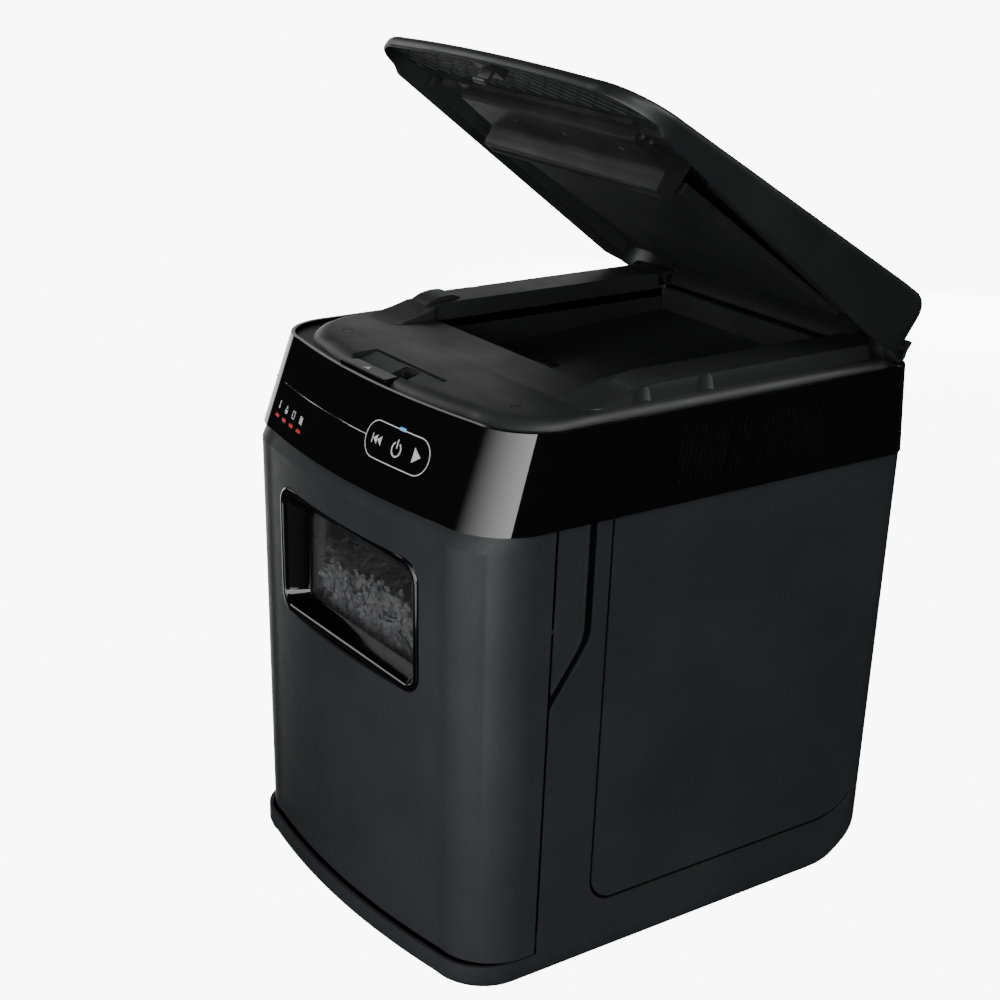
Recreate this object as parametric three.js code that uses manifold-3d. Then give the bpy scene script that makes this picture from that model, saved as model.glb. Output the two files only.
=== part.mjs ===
// Auto-feed paper shredder: pull-out bin, cutting head, paper tray and hinged lid.
// Millimetres, +Z up, front towards -Y. The lid stands open, as it does while the tray is loaded.
import * as THREE from 'three';
import { mergeVertices } from 'three/addons/utils/BufferGeometryUtils.js';
import Module from 'manifold-3d';

const wasm = await Module();
wasm.setup();

// ---- Driving dimensions ----
const WIDTH = 380;
const DEPTH = 475;
const GAP = 0.3;
const WALL = 3.5;
const FOOT_HEIGHT = 6;
const FOOT_RADIUS = 15;
const LIP_HEIGHT = 22;
const BAND_BOTTOM = 412;
const BAND_TOP = 490;
const PANEL_SET_BACK = 27;
const BAND_LEAN = 4;
const BODY_INSET = 1.5;
const BODY_TAPER = 4;
const FRONT_CORNER = 55;
const BACK_CORNER = 25;
const FRONT_BOW = 12;
const HEEL_RADIUS = 85;
const DRAWER_SEAM_Y = -152;
const BACK_SEAM_Y = 205;
const DRAWER_FOOT_SET_BACK = 7;

const TRAY_HALF = 125;
const TRAY_FRONT = -90;
const TRAY_MOUTH_FRONT = -62;
const TRAY_BACK = 210;
const TRAY_FLOOR_FRONT = 457;
const TRAY_FLOOR_BACK = 470;
const THROAT_Y = -51;
const THROAT_HALF = 118;
const THROAT_WIDTH = 10;
const MANUAL_SLOT_HALF = 4;

const LID_OPEN_DEG = 37;
const HINGE_Y = 219;
const HINGE_Z = 499;
const HINGE_RADIUS = 7.5;
const PIN_RADIUS = 4;
const LID_WALL = 3;
const LID_BOTTOM = BAND_TOP + 1;
const LID_FRONT_Y = -187;
const LID_BACK_Y = 226.5;
const LID_FRONT_HEIGHT = 15;
const LID_SLOPE = 0.116;

const DECK_LEDGE = BAND_TOP - 4;
const PLATEAU = BAND_TOP + 4;
const CHASSIS_Z = 322;
const CHASSIS_THICKNESS = 4;
const FRAME_INNER_X = 128;
const FRAME_THICKNESS = 4;
const CUTTER_Z = 382;
const GEAR_MODULE = 2.4;
const CUTTER_TEETH = 18;
const MOTOR_MODULE = 2;
const DISC_RADIUS = 24;
const SPACER_RADIUS = 18;
const SHAFT_RADIUS = 10;
const SHAFT_BORE = SHAFT_RADIUS + GAP;
const DISC_COUNT = 12;
const DISC_PITCH = 20;
const FEED_Y = 8;
const FEED_Z = 445;
const FEED_RADIUS = 16;
const CUTTER_SPACING = GEAR_MODULE * CUTTER_TEETH;
const REAR_CUTTER_Y = THROAT_Y + CUTTER_SPACING / 2;
const FRONT_CUTTER_Y = THROAT_Y - CUTTER_SPACING / 2;

const WINDOW_HALF = 110;
const WINDOW_BOTTOM = 255;
const WINDOW_TOP = 372;
const BEZEL_BACK_Y = -206;
const TUB_TOP = 312;
const TUB_BOTTOM = 39.5;
const FAR = 400;

// Paper path and deck fittings
const INLET_X = -132;
const SWITCH_X = -92;
const SOCKET_Z = 140;
const STATUS_LIGHTS = [-132, -116, -100, -84];
const STATUS_Z = 425;
const POWER_LIGHT_X = 62;
const POWER_LIGHT_Z = 465;
const LIGHT_HALF_WIDTH = 4;
const LIGHT_HALF_HEIGHT = 1.4;
const KEY = { x0: -58, x1: 14, y0: -199, y1: -184, z0: 486.6, z1: 492.6 };
const RECESS = { x0: -64, x1: 44, y0: -183, y1: -158 };
const CATCH_X = -2;
const CATCH_Y = -172;
const SCREW_X = 126;
const SCREW_Y = -150;
const TRAY_WALL = 2.5;
const TRAY_RIM = PLATEAU - 3.1;
const ROLLER_XS = [-52, 52];
const ROCKER_Y = 226;
const TUB_FRONT = -200;
const LINER = [[-183, 498.5], [-140, 499.5], [-112, 505.5], [-66, 513.2], [200, 516]];
const PLATE = { half: 116, frontY: -36, backY: 192, frontZ: 490, backZ: 505 };
const SIDE_GROOVE = { y0: -112, y1: 232, z0: 58, frontRadius: 26, backRadius: 60, width: 2, depth: 1.3 };
const SIDE_STRIP = { points: [[-130, 417], [-126, 322], [-131, 304], [-153, 272]], width: 4 };
const BAND_SLITS = { starts: [-34, 52], count: 10, pitch: 7.2, width: 2, lean: 12, z0: 428, z1: 474 };
const REAR_SLOTS = { count: 7, pitch: 9, height: 4, half: 70, z0: 335 };
const HINGE_SPANS = [[127.7, 147.7], [167.3, 180.5]];
const BRACKET_SPAN = [148.2, 166.8];
const RAIL_SCALLOPS = [-56, 10];
const RAIL_SCALLOP_RADIUS = 11;

// ---- Materials ----
function plastic(hex, roughness, metalness = 0) {
  return new THREE.MeshStandardMaterial({ color: hex, roughness, metalness });
}
const SATIN = plastic(0x26272a, 0.55);
const GLOSS = plastic(0x08090a, 0.08);
const MATTE = plastic(0x1d1e20, 0.75);
const DARK = plastic(0x141416, 0.6);
const RUBBER = plastic(0x101010, 0.9);
const STEEL = plastic(0x9a9da1, 0.35, 0.9);
const GEARING = plastic(0xd8d4c8, 0.5);
const CLEAR = plastic(0x50555a, 0.1);
const RED = plastic(0xc02018, 0.3);
const BLUE = plastic(0x2f8fe0, 0.3);
const BOARD = plastic(0x1f5a32, 0.6);

// ---- Outlines: closed lists of [u, v] points, anticlockwise ----
function arcPoints(centreU, centreV, radius, startDeg, endDeg, steps) {
  const points = [];
  for (let i = 0; i <= steps; i++) {
    const angle = THREE.MathUtils.degToRad(startDeg + ((endDeg - startDeg) * i) / steps);
    points.push([centreU + radius * Math.cos(angle), centreV + radius * Math.sin(angle)]);
  }
  return points;
}

function rectangle(u0, u1, v0, v1) {
  return [[u0, v0], [u1, v0], [u1, v1], [u0, v1]];
}

function roundedRectangle(u0, u1, v0, v1, radius, steps = 4) {
  return [
    ...arcPoints(u1 - radius, v0 + radius, radius, -90, 0, steps),
    ...arcPoints(u1 - radius, v1 - radius, radius, 0, 90, steps),
    ...arcPoints(u0 + radius, v1 - radius, radius, 90, 180, steps),
    ...arcPoints(u0 + radius, v0 + radius, radius, 180, 270, steps),
  ];
}

function bowedPlan({ half, front, back, frontRadius, backRadius, bow }) {
  const flat = half - frontRadius;
  const cornerY = front + bow + frontRadius;
  const points = [];
  const bowSteps = 6;
  for (let i = 0; i <= bowSteps; i++) {
    const x = -flat + (2 * flat * i) / bowSteps;
    points.push([x, front + bow * (x / flat) ** 2]);
  }
  points.push(...arcPoints(flat, cornerY, frontRadius, -90, 0, 6).slice(1));
  points.push(...arcPoints(half - backRadius, back - backRadius, backRadius, 0, 90, 4));
  points.push(...arcPoints(-half + backRadius, back - backRadius, backRadius, 90, 180, 4));
  points.push(...arcPoints(-flat, cornerY, frontRadius, 180, 270, 6).slice(0, -1));
  return points;
}

function housingPlan(inset, setBack = 0) {
  return bowedPlan({
    half: WIDTH / 2 - inset,
    front: -DEPTH / 2 + inset + setBack,
    back: DEPTH / 2 - inset,
    frontRadius: FRONT_CORNER - inset,
    backRadius: Math.max(BACK_CORNER - inset, 6),
    bow: FRONT_BOW,
  });
}

function lidPlan(inset) {
  return bowedPlan({
    half: WIDTH / 2 - 5 - inset,
    front: LID_FRONT_Y + inset,
    back: LID_BACK_Y - inset,
    frontRadius: 50 - inset,
    backRadius: 28 - inset,
    bow: 8,
  });
}

// ---- Solids ----
const AXIS_BASES = {
  x: new THREE.Matrix4().makeBasis(
    new THREE.Vector3(0, 1, 0), new THREE.Vector3(0, 0, 1), new THREE.Vector3(1, 0, 0)),
  y: new THREE.Matrix4().makeBasis(
    new THREE.Vector3(1, 0, 0), new THREE.Vector3(0, 0, 1), new THREE.Vector3(0, -1, 0)),
  z: new THREE.Matrix4(),
};

function toSolid(geometry) {
  const bare = geometry.clone();
  for (const name of Object.keys(bare.attributes)) {
    if (name !== 'position') bare.deleteAttribute(name);
  }
  const merged = mergeVertices(bare, 1e-4);
  return new wasm.Manifold(new wasm.Mesh({
    numProp: 3,
    vertProperties: new Float32Array(merged.attributes.position.array),
    triVerts: new Uint32Array(merged.index.array),
  }));
}

function toGeometry(solid) {
  const mesh = solid.getMesh();
  const geometry = new THREE.BufferGeometry();
  geometry.setAttribute('position', new THREE.BufferAttribute(mesh.vertProperties, 3));
  geometry.setIndex(new THREE.BufferAttribute(mesh.triVerts, 1));
  geometry.computeVertexNormals();
  return geometry;
}

// Joins outlines of equal length at rising heights w along an axis ('y' runs backwards: w = -y).
function loft(axis, sections) {
  const count = sections[0].outline.length;
  const positions = [];
  for (const { outline, at } of sections) {
    for (const [u, v] of outline) positions.push(u, v, at);
  }
  const indices = [];
  for (let level = 0; level < sections.length - 1; level++) {
    for (let i = 0; i < count; i++) {
      const a = level * count + i;
      const b = level * count + ((i + 1) % count);
      indices.push(a, b, b + count, a, b + count, a + count);
    }
  }
  const top = (sections.length - 1) * count;
  for (const [at, base] of [[0, 0], [sections.length - 1, top]]) {
    const contour = sections[at].outline.map(([u, v]) => new THREE.Vector2(u, v));
    for (const [a, b, c] of THREE.ShapeUtils.triangulateShape(contour, [])) {
      if (base === 0) indices.push(c, b, a);
      else indices.push(base + a, base + b, base + c);
    }
  }
  const geometry = new THREE.BufferGeometry();
  geometry.setAttribute('position', new THREE.Float32BufferAttribute(positions, 3));
  geometry.setIndex(indices);
  geometry.applyMatrix4(AXIS_BASES[axis]);
  return toSolid(geometry);
}

// Outline in (y, z) run along X, in (x, z) run along Y, or in (x, y) run along Z.
function prismX(outline, x0, x1) {
  return loft('x', [{ outline, at: x0 }, { outline, at: x1 }]);
}

function prismY(outline, y0, y1) {
  return loft('y', [{ outline, at: -y1 }, { outline, at: -y0 }]);
}

function prismZ(outline, z0, z1) {
  return loft('z', [{ outline, at: z0 }, { outline, at: z1 }]);
}

function box(x0, x1, y0, y1, z0, z1) {
  const geometry = new THREE.BoxGeometry(x1 - x0, y1 - y0, z1 - z0);
  geometry.translate((x0 + x1) / 2, (y0 + y1) / 2, (z0 + z1) / 2);
  return toSolid(geometry);
}

function cylinderX(radius, x0, x1, y, z, sides = 16) {
  return prismX(arcPoints(y, z, radius, 0, 360, sides).slice(0, -1), x0, x1);
}

function cylinderZ(radius, z0, z1, x, y, sides = 16) {
  return prismZ(arcPoints(x, y, radius, 0, 360, sides).slice(0, -1), z0, z1);
}

// Turned piece along X: profile of [radius, x] from end to end.
function turnedX(profile, y, z, sides) {
  const points = [[0, profile[0][1]], ...profile, [0, profile.at(-1)[1]]];
  const geometry = new THREE.LatheGeometry(points.map(([r, x]) => new THREE.Vector2(r, x)), sides);
  geometry.rotateZ(-Math.PI / 2);
  geometry.translate(0, y, z);
  return toSolid(geometry);
}

// ---- Scene graph ----
const shredder = new THREE.Group();
const lidPivot = new THREE.Group();
const lid = new THREE.Group();
lidPivot.position.set(0, HINGE_Y, HINGE_Z);
lidPivot.rotation.x = -THREE.MathUtils.degToRad(LID_OPEN_DEG);
lid.position.set(0, -HINGE_Y, -HINGE_Z);
lidPivot.add(lid);
shredder.add(lidPivot);

function place(name, solid, material, parent = shredder) {
  const mesh = new THREE.Mesh(toGeometry(solid), material);
  mesh.name = name;
  parent.add(mesh);
}

function placePair(name, solid, material, parent = shredder) {
  place(`${name}_right`, solid, material, parent);
  place(`${name}_left`, solid.mirror([1, 0, 0]), material, parent);
}

// ---- Housing shell ----
const BASE_Z = FOOT_HEIGHT + GAP;

function bodyInset(z) {
  return BODY_INSET + (BODY_TAPER * (BAND_BOTTOM - z)) / BAND_BOTTOM;
}

// The housing's side view: flat bottom with a large radius up into the back.
function aboveHeel(offset) {
  const centreY = DEPTH / 2 - HEEL_RADIUS;
  const centreZ = BASE_Z + HEEL_RADIUS;
  return prismX([
    [-FAR, BASE_Z + offset],
    ...arcPoints(centreY, centreZ, HEEL_RADIUS - offset, -90, 0, 8),
    [FAR, centreZ],
    [FAR, FAR + BAND_TOP],
    [-FAR, FAR + BAND_TOP],
  ], -FAR, FAR);
}

function bodyCore(extraInset, z0, z1) {
  return loft('z', [
    { outline: housingPlan(bodyInset(z0) + extraInset), at: z0 },
    { outline: housingPlan(bodyInset(z1) + extraInset), at: z1 },
  ]);
}

function drawerCore(extraInset, z0, z1) {
  const setBack = (z) => DRAWER_FOOT_SET_BACK * (1 - z / BAND_BOTTOM);
  return loft('z', [
    { outline: housingPlan(bodyInset(z0) + extraInset, setBack(z0)), at: z0 },
    { outline: housingPlan(bodyInset(z1) + extraInset, setBack(z1)), at: z1 },
  ]);
}

function baseTray() {
  const chamfer = 6;
  const outer = loft('z', [
    { outline: housingPlan(bodyInset(BASE_Z) + chamfer), at: BASE_Z },
    { outline: housingPlan(bodyInset(BASE_Z + chamfer)), at: BASE_Z + chamfer },
    { outline: housingPlan(bodyInset(150)), at: 150 },
  ]);
  const floor = 4;
  const inside = bodyCore(WALL, BASE_Z, 160).intersect(aboveHeel(floor));
  return outer.intersect(aboveHeel(0)).subtract(aboveHeel(LIP_HEIGHT)).subtract(inside);
}

function wallShell() {
  const top = BAND_BOTTOM - GAP;
  const ring = bodyCore(0, BASE_Z, top).subtract(bodyCore(WALL, 0, BAND_TOP));
  return ring.intersect(aboveHeel(LIP_HEIGHT + GAP));
}

// A groove cut a little way into the outside of the right wall, following an outline in (y, z).
function wallGroove(outline, inner) {
  let cut = prismX(outline, WIDTH / 4, WIDTH);
  if (inner) cut = cut.subtract(prismX(inner, WIDTH / 4 - 1, WIDTH + 1));
  return cut.subtract(bodyCore(SIDE_GROOVE.depth, 0, BAND_TOP));
}

function sideGrooveOutline(inset) {
  const { y0, y1, z0 } = SIDE_GROOVE;
  const z1 = BAND_BOTTOM + 20;
  const frontRadius = SIDE_GROOVE.frontRadius;
  const backRadius = SIDE_GROOVE.backRadius;
  return [
    ...arcPoints(y1 - backRadius, z0 + backRadius, backRadius - inset, -90, 0, 8),
    [y1 - inset, z1],
    [y0 + inset, z1],
    ...arcPoints(y0 + frontRadius, z0 + frontRadius, frontRadius - inset, 180, 270, 5),
  ];
}

function sidePanel() {
  const panel = wallShell().intersect(box(0, FAR, DRAWER_SEAM_Y + 2 * GAP, BACK_SEAM_Y, 0, FAR + 50));
  const { points, width } = SIDE_STRIP;
  const strip = [...points, ...points.slice(1).toReversed().map(([y, z]) => [y + width, z - width / 2])];
  strip.push([points[0][0] + width, points[0][1]]);
  const groove = wallGroove(sideGrooveOutline(0), sideGrooveOutline(SIDE_GROOVE.width));
  return panel.subtract(groove).subtract(wallGroove(strip));
}

function rearPanel() {
  const socket = rectangle(INLET_X - 15, INLET_X + 15, SOCKET_Z - 12, SOCKET_Z + 12);
  const switchHole = rectangle(SWITCH_X - 12, SWITCH_X + 12, SOCKET_Z - 15, SOCKET_Z + 15);
  let panel = wallShell().intersect(box(-FAR, FAR, BACK_SEAM_Y + GAP, FAR, 0, FAR + 50));
  panel = panel.subtract(prismY(socket, 100, FAR)).subtract(prismY(switchHole, 100, FAR));
  const { count, pitch, height, half, z0 } = REAR_SLOTS;
  for (let i = 0; i < count; i++) {
    const z = z0 + pitch * i;
    panel = panel.subtract(box(-half, half, 100, FAR, z, z + height));
  }
  return panel;
}

// ---- Control band ----
function bandCore(extraInset) {
  return loft('z', [
    { outline: housingPlan(extraInset), at: BAND_BOTTOM },
    { outline: housingPlan(BAND_LEAN + extraInset, PANEL_SET_BACK), at: BAND_TOP },
  ]);
}

function lightBar(x, z, clearance, y1) {
  const halfWidth = LIGHT_HALF_WIDTH + clearance;
  const halfHeight = LIGHT_HALF_HEIGHT + clearance;
  return box(x - halfWidth, x + halfWidth, -DEPTH / 2 - 5, y1, z - halfHeight, z + halfHeight);
}

function controlBand() {
  const inner = loft('z', [
    { outline: housingPlan(WALL - 0.05), at: BAND_BOTTOM - 1 },
    { outline: housingPlan(BAND_LEAN + WALL + 0.05, PANEL_SET_BACK + 0.35), at: BAND_TOP + 1 },
  ]);
  let band = bandCore(0).subtract(inner);
  for (const x of STATUS_LIGHTS) band = band.subtract(lightBar(x, STATUS_Z, GAP, -195));
  band = band.subtract(lightBar(POWER_LIGHT_X, POWER_LIGHT_Z, GAP, -185));
  const { starts, count, pitch, width, lean, z0, z1 } = BAND_SLITS;
  for (const start of starts) {
    for (let i = 0; i < count; i++) {
      const y = start + pitch * i;
      const slit = [[y, z0], [y + width, z0], [y + width + lean, z1], [y + lean, z1]];
      band = band.subtract(prismX(slit, WIDTH / 2 - 15, WIDTH));
      band = band.subtract(prismX(slit, -WIDTH, -WIDTH / 2 + 15));
    }
  }
  return band;
}

function statusLightPipe() {
  const backY = -200;
  const [first, last] = [STATUS_LIGHTS[0], STATUS_LIGHTS.at(-1)];
  let pipe = box(first - 6, last + 6, backY, backY + 4, STATUS_Z - 3, STATUS_Z + 3);
  for (const x of STATUS_LIGHTS) pipe = pipe.add(lightBar(x, STATUS_Z, 0, backY + 1));
  return pipe.intersect(bandCore(0));
}

function powerLight() {
  return lightBar(POWER_LIGHT_X, POWER_LIGHT_Z, 0, -192).intersect(bandCore(0));
}

// ---- Top deck ----
function deckRail() {
  const outer = loft('z', [
    { outline: roundedRectangle(121, 164, -106, 207, 12), at: PLATEAU - 2 },
    { outline: roundedRectangle(121, 158, -92, 204, 12), at: PLATEAU + 14 },
  ]);
  const slopedTop = prismX([
    [-FAR, 480], [FAR, 480], [FAR, PLATEAU + 13], [-38, PLATEAU + 13], [-106, PLATEAU + 6],
    [-FAR, PLATEAU + 6],
  ], 0, FAR);
  const inner = loft('z', [
    { outline: roundedRectangle(127.5, 158, -96, 202, 9), at: PLATEAU - 20 },
    { outline: roundedRectangle(127.5, 154, -86, 200, 9), at: PLATEAU + 10.5 },
  ]);
  const innerTop = prismX([
    [-FAR, 470], [FAR, 470], [FAR, PLATEAU + 10.5], [-38, PLATEAU + 10.5], [-106, PLATEAU + 3.5],
    [-FAR, PLATEAU + 3.5],
  ], 0, FAR);
  const bumpOutline = [[-70, PLATEAU + 6], [-22, PLATEAU + 6], [-28, PLATEAU + 17], [-56, PLATEAU + 17]];
  const bump = prismX(bumpOutline, 126, 150);
  const hollow = inner.intersect(innerTop);
  let rail = outer.intersect(slopedTop).add(bump);
  for (const y of RAIL_SCALLOPS) {
    for (const dy of [-RAIL_SCALLOP_RADIUS, RAIL_SCALLOP_RADIUS]) {
      rail = rail.subtract(cylinderZ(2, PLATEAU + 1, PLATEAU + 40, 161, y + dy, 8));
    }
  }
  return { rail, hollow };
}

function topDeck() {
  const edge = BAND_LEAN + WALL + 1;
  const ledge = prismZ(housingPlan(edge, PANEL_SET_BACK), DECK_LEDGE - 3, DECK_LEDGE);
  const plateau = loft('z', [
    { outline: housingPlan(17, PANEL_SET_BACK + 1), at: DECK_LEDGE - 0.5 },
    { outline: housingPlan(18, PANEL_SET_BACK + 2), at: PLATEAU - 2 },
    { outline: housingPlan(20, PANEL_SET_BACK + 3), at: PLATEAU },
  ]);
  const hollow = prismZ(housingPlan(22, PANEL_SET_BACK + 4), 470, PLATEAU - 2.8);
  const hingeClearance = box(-FAR, FAR, TRAY_BACK + 1, FAR, DECK_LEDGE + 0.2, FAR + BAND_TOP);
  const shelf = box(-160, 160, 213, 228, DECK_LEDGE - 3, DECK_LEDGE);
  const block = box(RECESS.x0 - 3, RECESS.x1 + 3, KEY.y0 + 8, RECESS.y1 + 3, 478, PLATEAU);
  const keyPocket = box(KEY.x0 - 0.5, KEY.x1 + 0.5, KEY.y0 - 0.5, KEY.y1 + 0.4, 481.5, 520);
  const recess = prismX([
    [RECESS.y0, 484], [RECESS.y1, 491], [RECESS.y1, 520], [RECESS.y0, 520],
  ], RECESS.x0, RECESS.x1);
  const catchHole = box(CATCH_X - 11, CATCH_X + 11, CATCH_Y - 10, CATCH_Y + 8, 450, 520);
  const mouth = box(-TRAY_HALF, TRAY_HALF, TRAY_MOUTH_FRONT, TRAY_BACK + 2.5, 450, 600);
  const { rail, hollow: railHollow } = deckRail();
  let deck = ledge.add(plateau).subtract(hollow).subtract(hingeClearance).add(shelf).add(block);
  deck = deck.add(rail).add(rail.mirror([1, 0, 0]));
  deck = deck.subtract(railHollow).subtract(railHollow.mirror([1, 0, 0]));
  deck = deck.subtract(keyPocket).subtract(recess).subtract(catchHole).subtract(mouth);
  for (const x of [-SCREW_X, SCREW_X]) {
    deck = deck.subtract(cylinderZ(4.5, PLATEAU - 1.2, 520, x, SCREW_Y, 12));
  }
  return deck;
}

function deckScrew(x) {
  return cylinderZ(4, PLATEAU - 0.9, PLATEAU - 0.2, x, SCREW_Y, 12);
}

function latchKey() {
  return loft('z', [
    { outline: roundedRectangle(KEY.x0, KEY.x1, KEY.y0, KEY.y1, 2, 2), at: KEY.z0 },
    { outline: roundedRectangle(KEY.x0, KEY.x1, KEY.y0, KEY.y1, 2, 2), at: KEY.z1 - 1 },
    { outline: roundedRectangle(KEY.x0 + 1, KEY.x1 - 1, KEY.y0 + 1, KEY.y1 - 1, 2, 2), at: KEY.z1 },
  ]);
}

// ---- Paper tray and throat ----
function feedTray() {
  const outer = prismX([
    [TRAY_FRONT - TRAY_WALL, TRAY_FLOOR_FRONT - TRAY_WALL],
    [THROAT_Y + 8, TRAY_FLOOR_FRONT - TRAY_WALL],
    [TRAY_BACK + TRAY_WALL, TRAY_FLOOR_BACK - TRAY_WALL],
    [TRAY_BACK + TRAY_WALL, TRAY_RIM],
    [TRAY_FRONT - TRAY_WALL, TRAY_RIM],
  ], -TRAY_HALF - TRAY_WALL, TRAY_HALF + TRAY_WALL);
  const inner = prismX([
    [TRAY_FRONT, TRAY_FLOOR_FRONT],
    [THROAT_Y + 8, TRAY_FLOOR_FRONT],
    [TRAY_BACK, TRAY_FLOOR_BACK],
    [TRAY_BACK, TRAY_RIM + 20],
    [TRAY_FRONT, TRAY_RIM + 20],
  ], -TRAY_HALF, TRAY_HALF);
  const halfThroat = THROAT_WIDTH / 2;
  let tray = outer.subtract(inner);
  const throat = box(-THROAT_HALF, THROAT_HALF, THROAT_Y - halfThroat, THROAT_Y + halfThroat, 440, 470);
  tray = tray.subtract(throat);
  for (const x of ROLLER_XS) tray = tray.subtract(box(x - 13, x + 13, FEED_Y - 13, FEED_Y + 13, 440, 470));
  return tray;
}

function throatGuide() {
  const halfOuter = THROAT_WIDTH / 2 + 3;
  const topZ = TRAY_FLOOR_FRONT - TRAY_WALL - GAP;
  const bottomZ = CUTTER_Z + 26;
  const endX = THROAT_HALF + 3;
  const outer = box(-endX, endX, THROAT_Y - halfOuter, THROAT_Y + halfOuter, bottomZ, topZ);
  const inner = loft('z', [
    { outline: rectangle(-THROAT_HALF, THROAT_HALF, THROAT_Y - 3, THROAT_Y + 3), at: bottomZ - 1 },
    { outline: rectangle(-THROAT_HALF, THROAT_HALF, THROAT_Y - 5, THROAT_Y + 5), at: topZ + 1 },
  ]);
  return outer.subtract(inner);
}

// ---- Cutting head ----
const LAYSHAFT_TEETH = 12;
const LAYSHAFT_Y = REAR_CUTTER_Y + (GEAR_MODULE * (CUTTER_TEETH + LAYSHAFT_TEETH)) / 2;
const REDUCTION_TEETH = 30;
const PINION_TEETH = 8;
const MOTOR_Y = LAYSHAFT_Y + (MOTOR_MODULE * (REDUCTION_TEETH + PINION_TEETH)) / 2;
const FRAME_TOP = TRAY_FLOOR_FRONT - TRAY_WALL - 0.5;
const FRAME_FOOT = CHASSIS_Z + CHASSIS_THICKNESS + GAP;
const PULLEY_RADIUS = 12;

function chassisPlate() {
  const plan = housingPlan(bodyInset(CHASSIS_Z) + WALL + 0.5);
  const plate = prismZ(plan, CHASSIS_Z, CHASSIS_Z + CHASSIS_THICKNESS);
  const kept = plate.intersect(box(-FAR, FAR, -180, FAR, 0, FAR));
  const outletHalf = FRAME_INNER_X - 8;
  return kept.subtract(box(-outletHalf, outletHalf, FRONT_CUTTER_Y - 30, REAR_CUTTER_Y + 30, 300, 350));
}

function cutterFrame(x0, backY) {
  const x1 = x0 + FRAME_THICKNESS;
  let plate = box(x0, x1, FRONT_CUTTER_Y - 36, backY, FRAME_FOOT, FRAME_TOP);
  for (const y of [FRONT_CUTTER_Y, REAR_CUTTER_Y]) {
    plate = plate.subtract(cylinderX(SHAFT_RADIUS + 0.5, x0 - 1, x1 + 1, y, CUTTER_Z));
  }
  plate = plate.subtract(cylinderX(4.5, x0 - 1, x1 + 1, FEED_Y, FEED_Z, 12));
  if (x0 < 0) {
    plate = plate.subtract(cylinderX(4.4, x0 - 1, x1 + 1, LAYSHAFT_Y, CUTTER_Z, 12));
    plate = plate.subtract(cylinderX(5, x0 - 1, x1 + 1, MOTOR_Y, CUTTER_Z, 12));
  }
  return plate;
}

function cutter(y, discOffset, x0, x1) {
  const profile = [[SHAFT_RADIUS, x0]];
  const start = (-DISC_COUNT * DISC_PITCH) / 2;
  profile.push([SHAFT_RADIUS, start - 1], [SPACER_RADIUS, start - 1]);
  for (let i = 0; i < DISC_COUNT; i++) {
    const x = start + DISC_PITCH * i + discOffset;
    profile.push([SPACER_RADIUS, x], [DISC_RADIUS, x], [DISC_RADIUS, x + 8], [SPACER_RADIUS, x + 8]);
  }
  profile.push([SPACER_RADIUS, -start + 1], [SHAFT_RADIUS, -start + 1], [SHAFT_RADIUS, x1]);
  return turnedX(profile, y, CUTTER_Z, 12);
}

// Spur gear in the YZ plane; a tooth points along startDeg (0 is +Y, 90 is +Z).
function gear(teeth, module, bore, x0, x1, y, z, startDeg) {
  const pitchRadius = (module * teeth) / 2;
  const tip = pitchRadius + 0.75 * module;
  const root = pitchRadius - 1.05 * module;
  const step = 360 / teeth;
  const points = [];
  for (let i = 0; i < teeth; i++) {
    const centre = startDeg + step * i;
    for (const [radius, share] of [[root, -0.3], [tip, -0.11], [tip, 0.11], [root, 0.3]]) {
      const angle = THREE.MathUtils.degToRad(centre + share * step);
      points.push([y + radius * Math.cos(angle), z + radius * Math.sin(angle)]);
    }
  }
  const blank = prismX(points, x0, x1);
  return bore > 0 ? blank.subtract(cylinderX(bore, x0 - 1, x1 + 1, y, z)) : blank;
}

function stripper(y0, y1, fingerY, discOffset) {
  const start = (-DISC_COUNT * DISC_PITCH) / 2;
  let comb = box(-FRAME_INNER_X + 1, FRAME_INNER_X - 1, y0, y1, CUTTER_Z - 6, CUTTER_Z + 6);
  for (let i = 0; i < DISC_COUNT; i++) {
    const x = start + DISC_PITCH * i + discOffset + 10;
    const [a, b] = fingerY > y1 ? [y1 - 1, fingerY] : [fingerY, y0 + 1];
    comb = comb.add(box(x, x + 8, a, b, CUTTER_Z - 4, CUTTER_Z + 4));
  }
  return comb;
}

function motor() {
  const x0 = -FRAME_INNER_X + GAP;
  const can = turnedX([
    [14, x0], [14, x0 + 3], [29, x0 + 3], [30, x0 + 5], [30, x0 + 74], [26, x0 + 78], [9, x0 + 78],
    [9, x0 + 86],
  ], MOTOR_Y, CUTTER_Z, 20);
  return can.subtract(cylinderX(3.4, x0 - 1, x0 + 15, MOTOR_Y, CUTTER_Z, 10));
}

function feedBelt() {
  const clearance = 0.5;
  const beltThickness = 1.6;
  const [x0, x1] = [136.5, 141.5];
  const dy = FEED_Y - REAR_CUTTER_Y;
  const dz = FEED_Z - CUTTER_Z;
  const tilt = THREE.MathUtils.radToDeg(Math.atan2(dz, dy));
  const loop = (radius) => [
    ...arcPoints(FEED_Y, FEED_Z, radius, tilt - 90, tilt + 90, 8),
    ...arcPoints(REAR_CUTTER_Y, CUTTER_Z, radius, tilt + 90, tilt + 270, 8),
  ];
  const inner = PULLEY_RADIUS + clearance;
  return prismX(loop(inner + beltThickness), x0, x1).subtract(prismX(loop(inner), x0 - 1, x1 + 1));
}

// ---- Boards, switch and rear sockets ----
function controlBoard() {
  const [y0, y1] = [-188, -186.4];
  let board = box(-140, 110, y0, y1, 418, 470);
  for (const [x, z] of [[-100, 435], [62, 452], [20, 440]]) {
    board = board.add(box(x - 8, x + 8, y1 - 1, y1 + 7, z - 6, z + 6));
  }
  return board;
}

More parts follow.
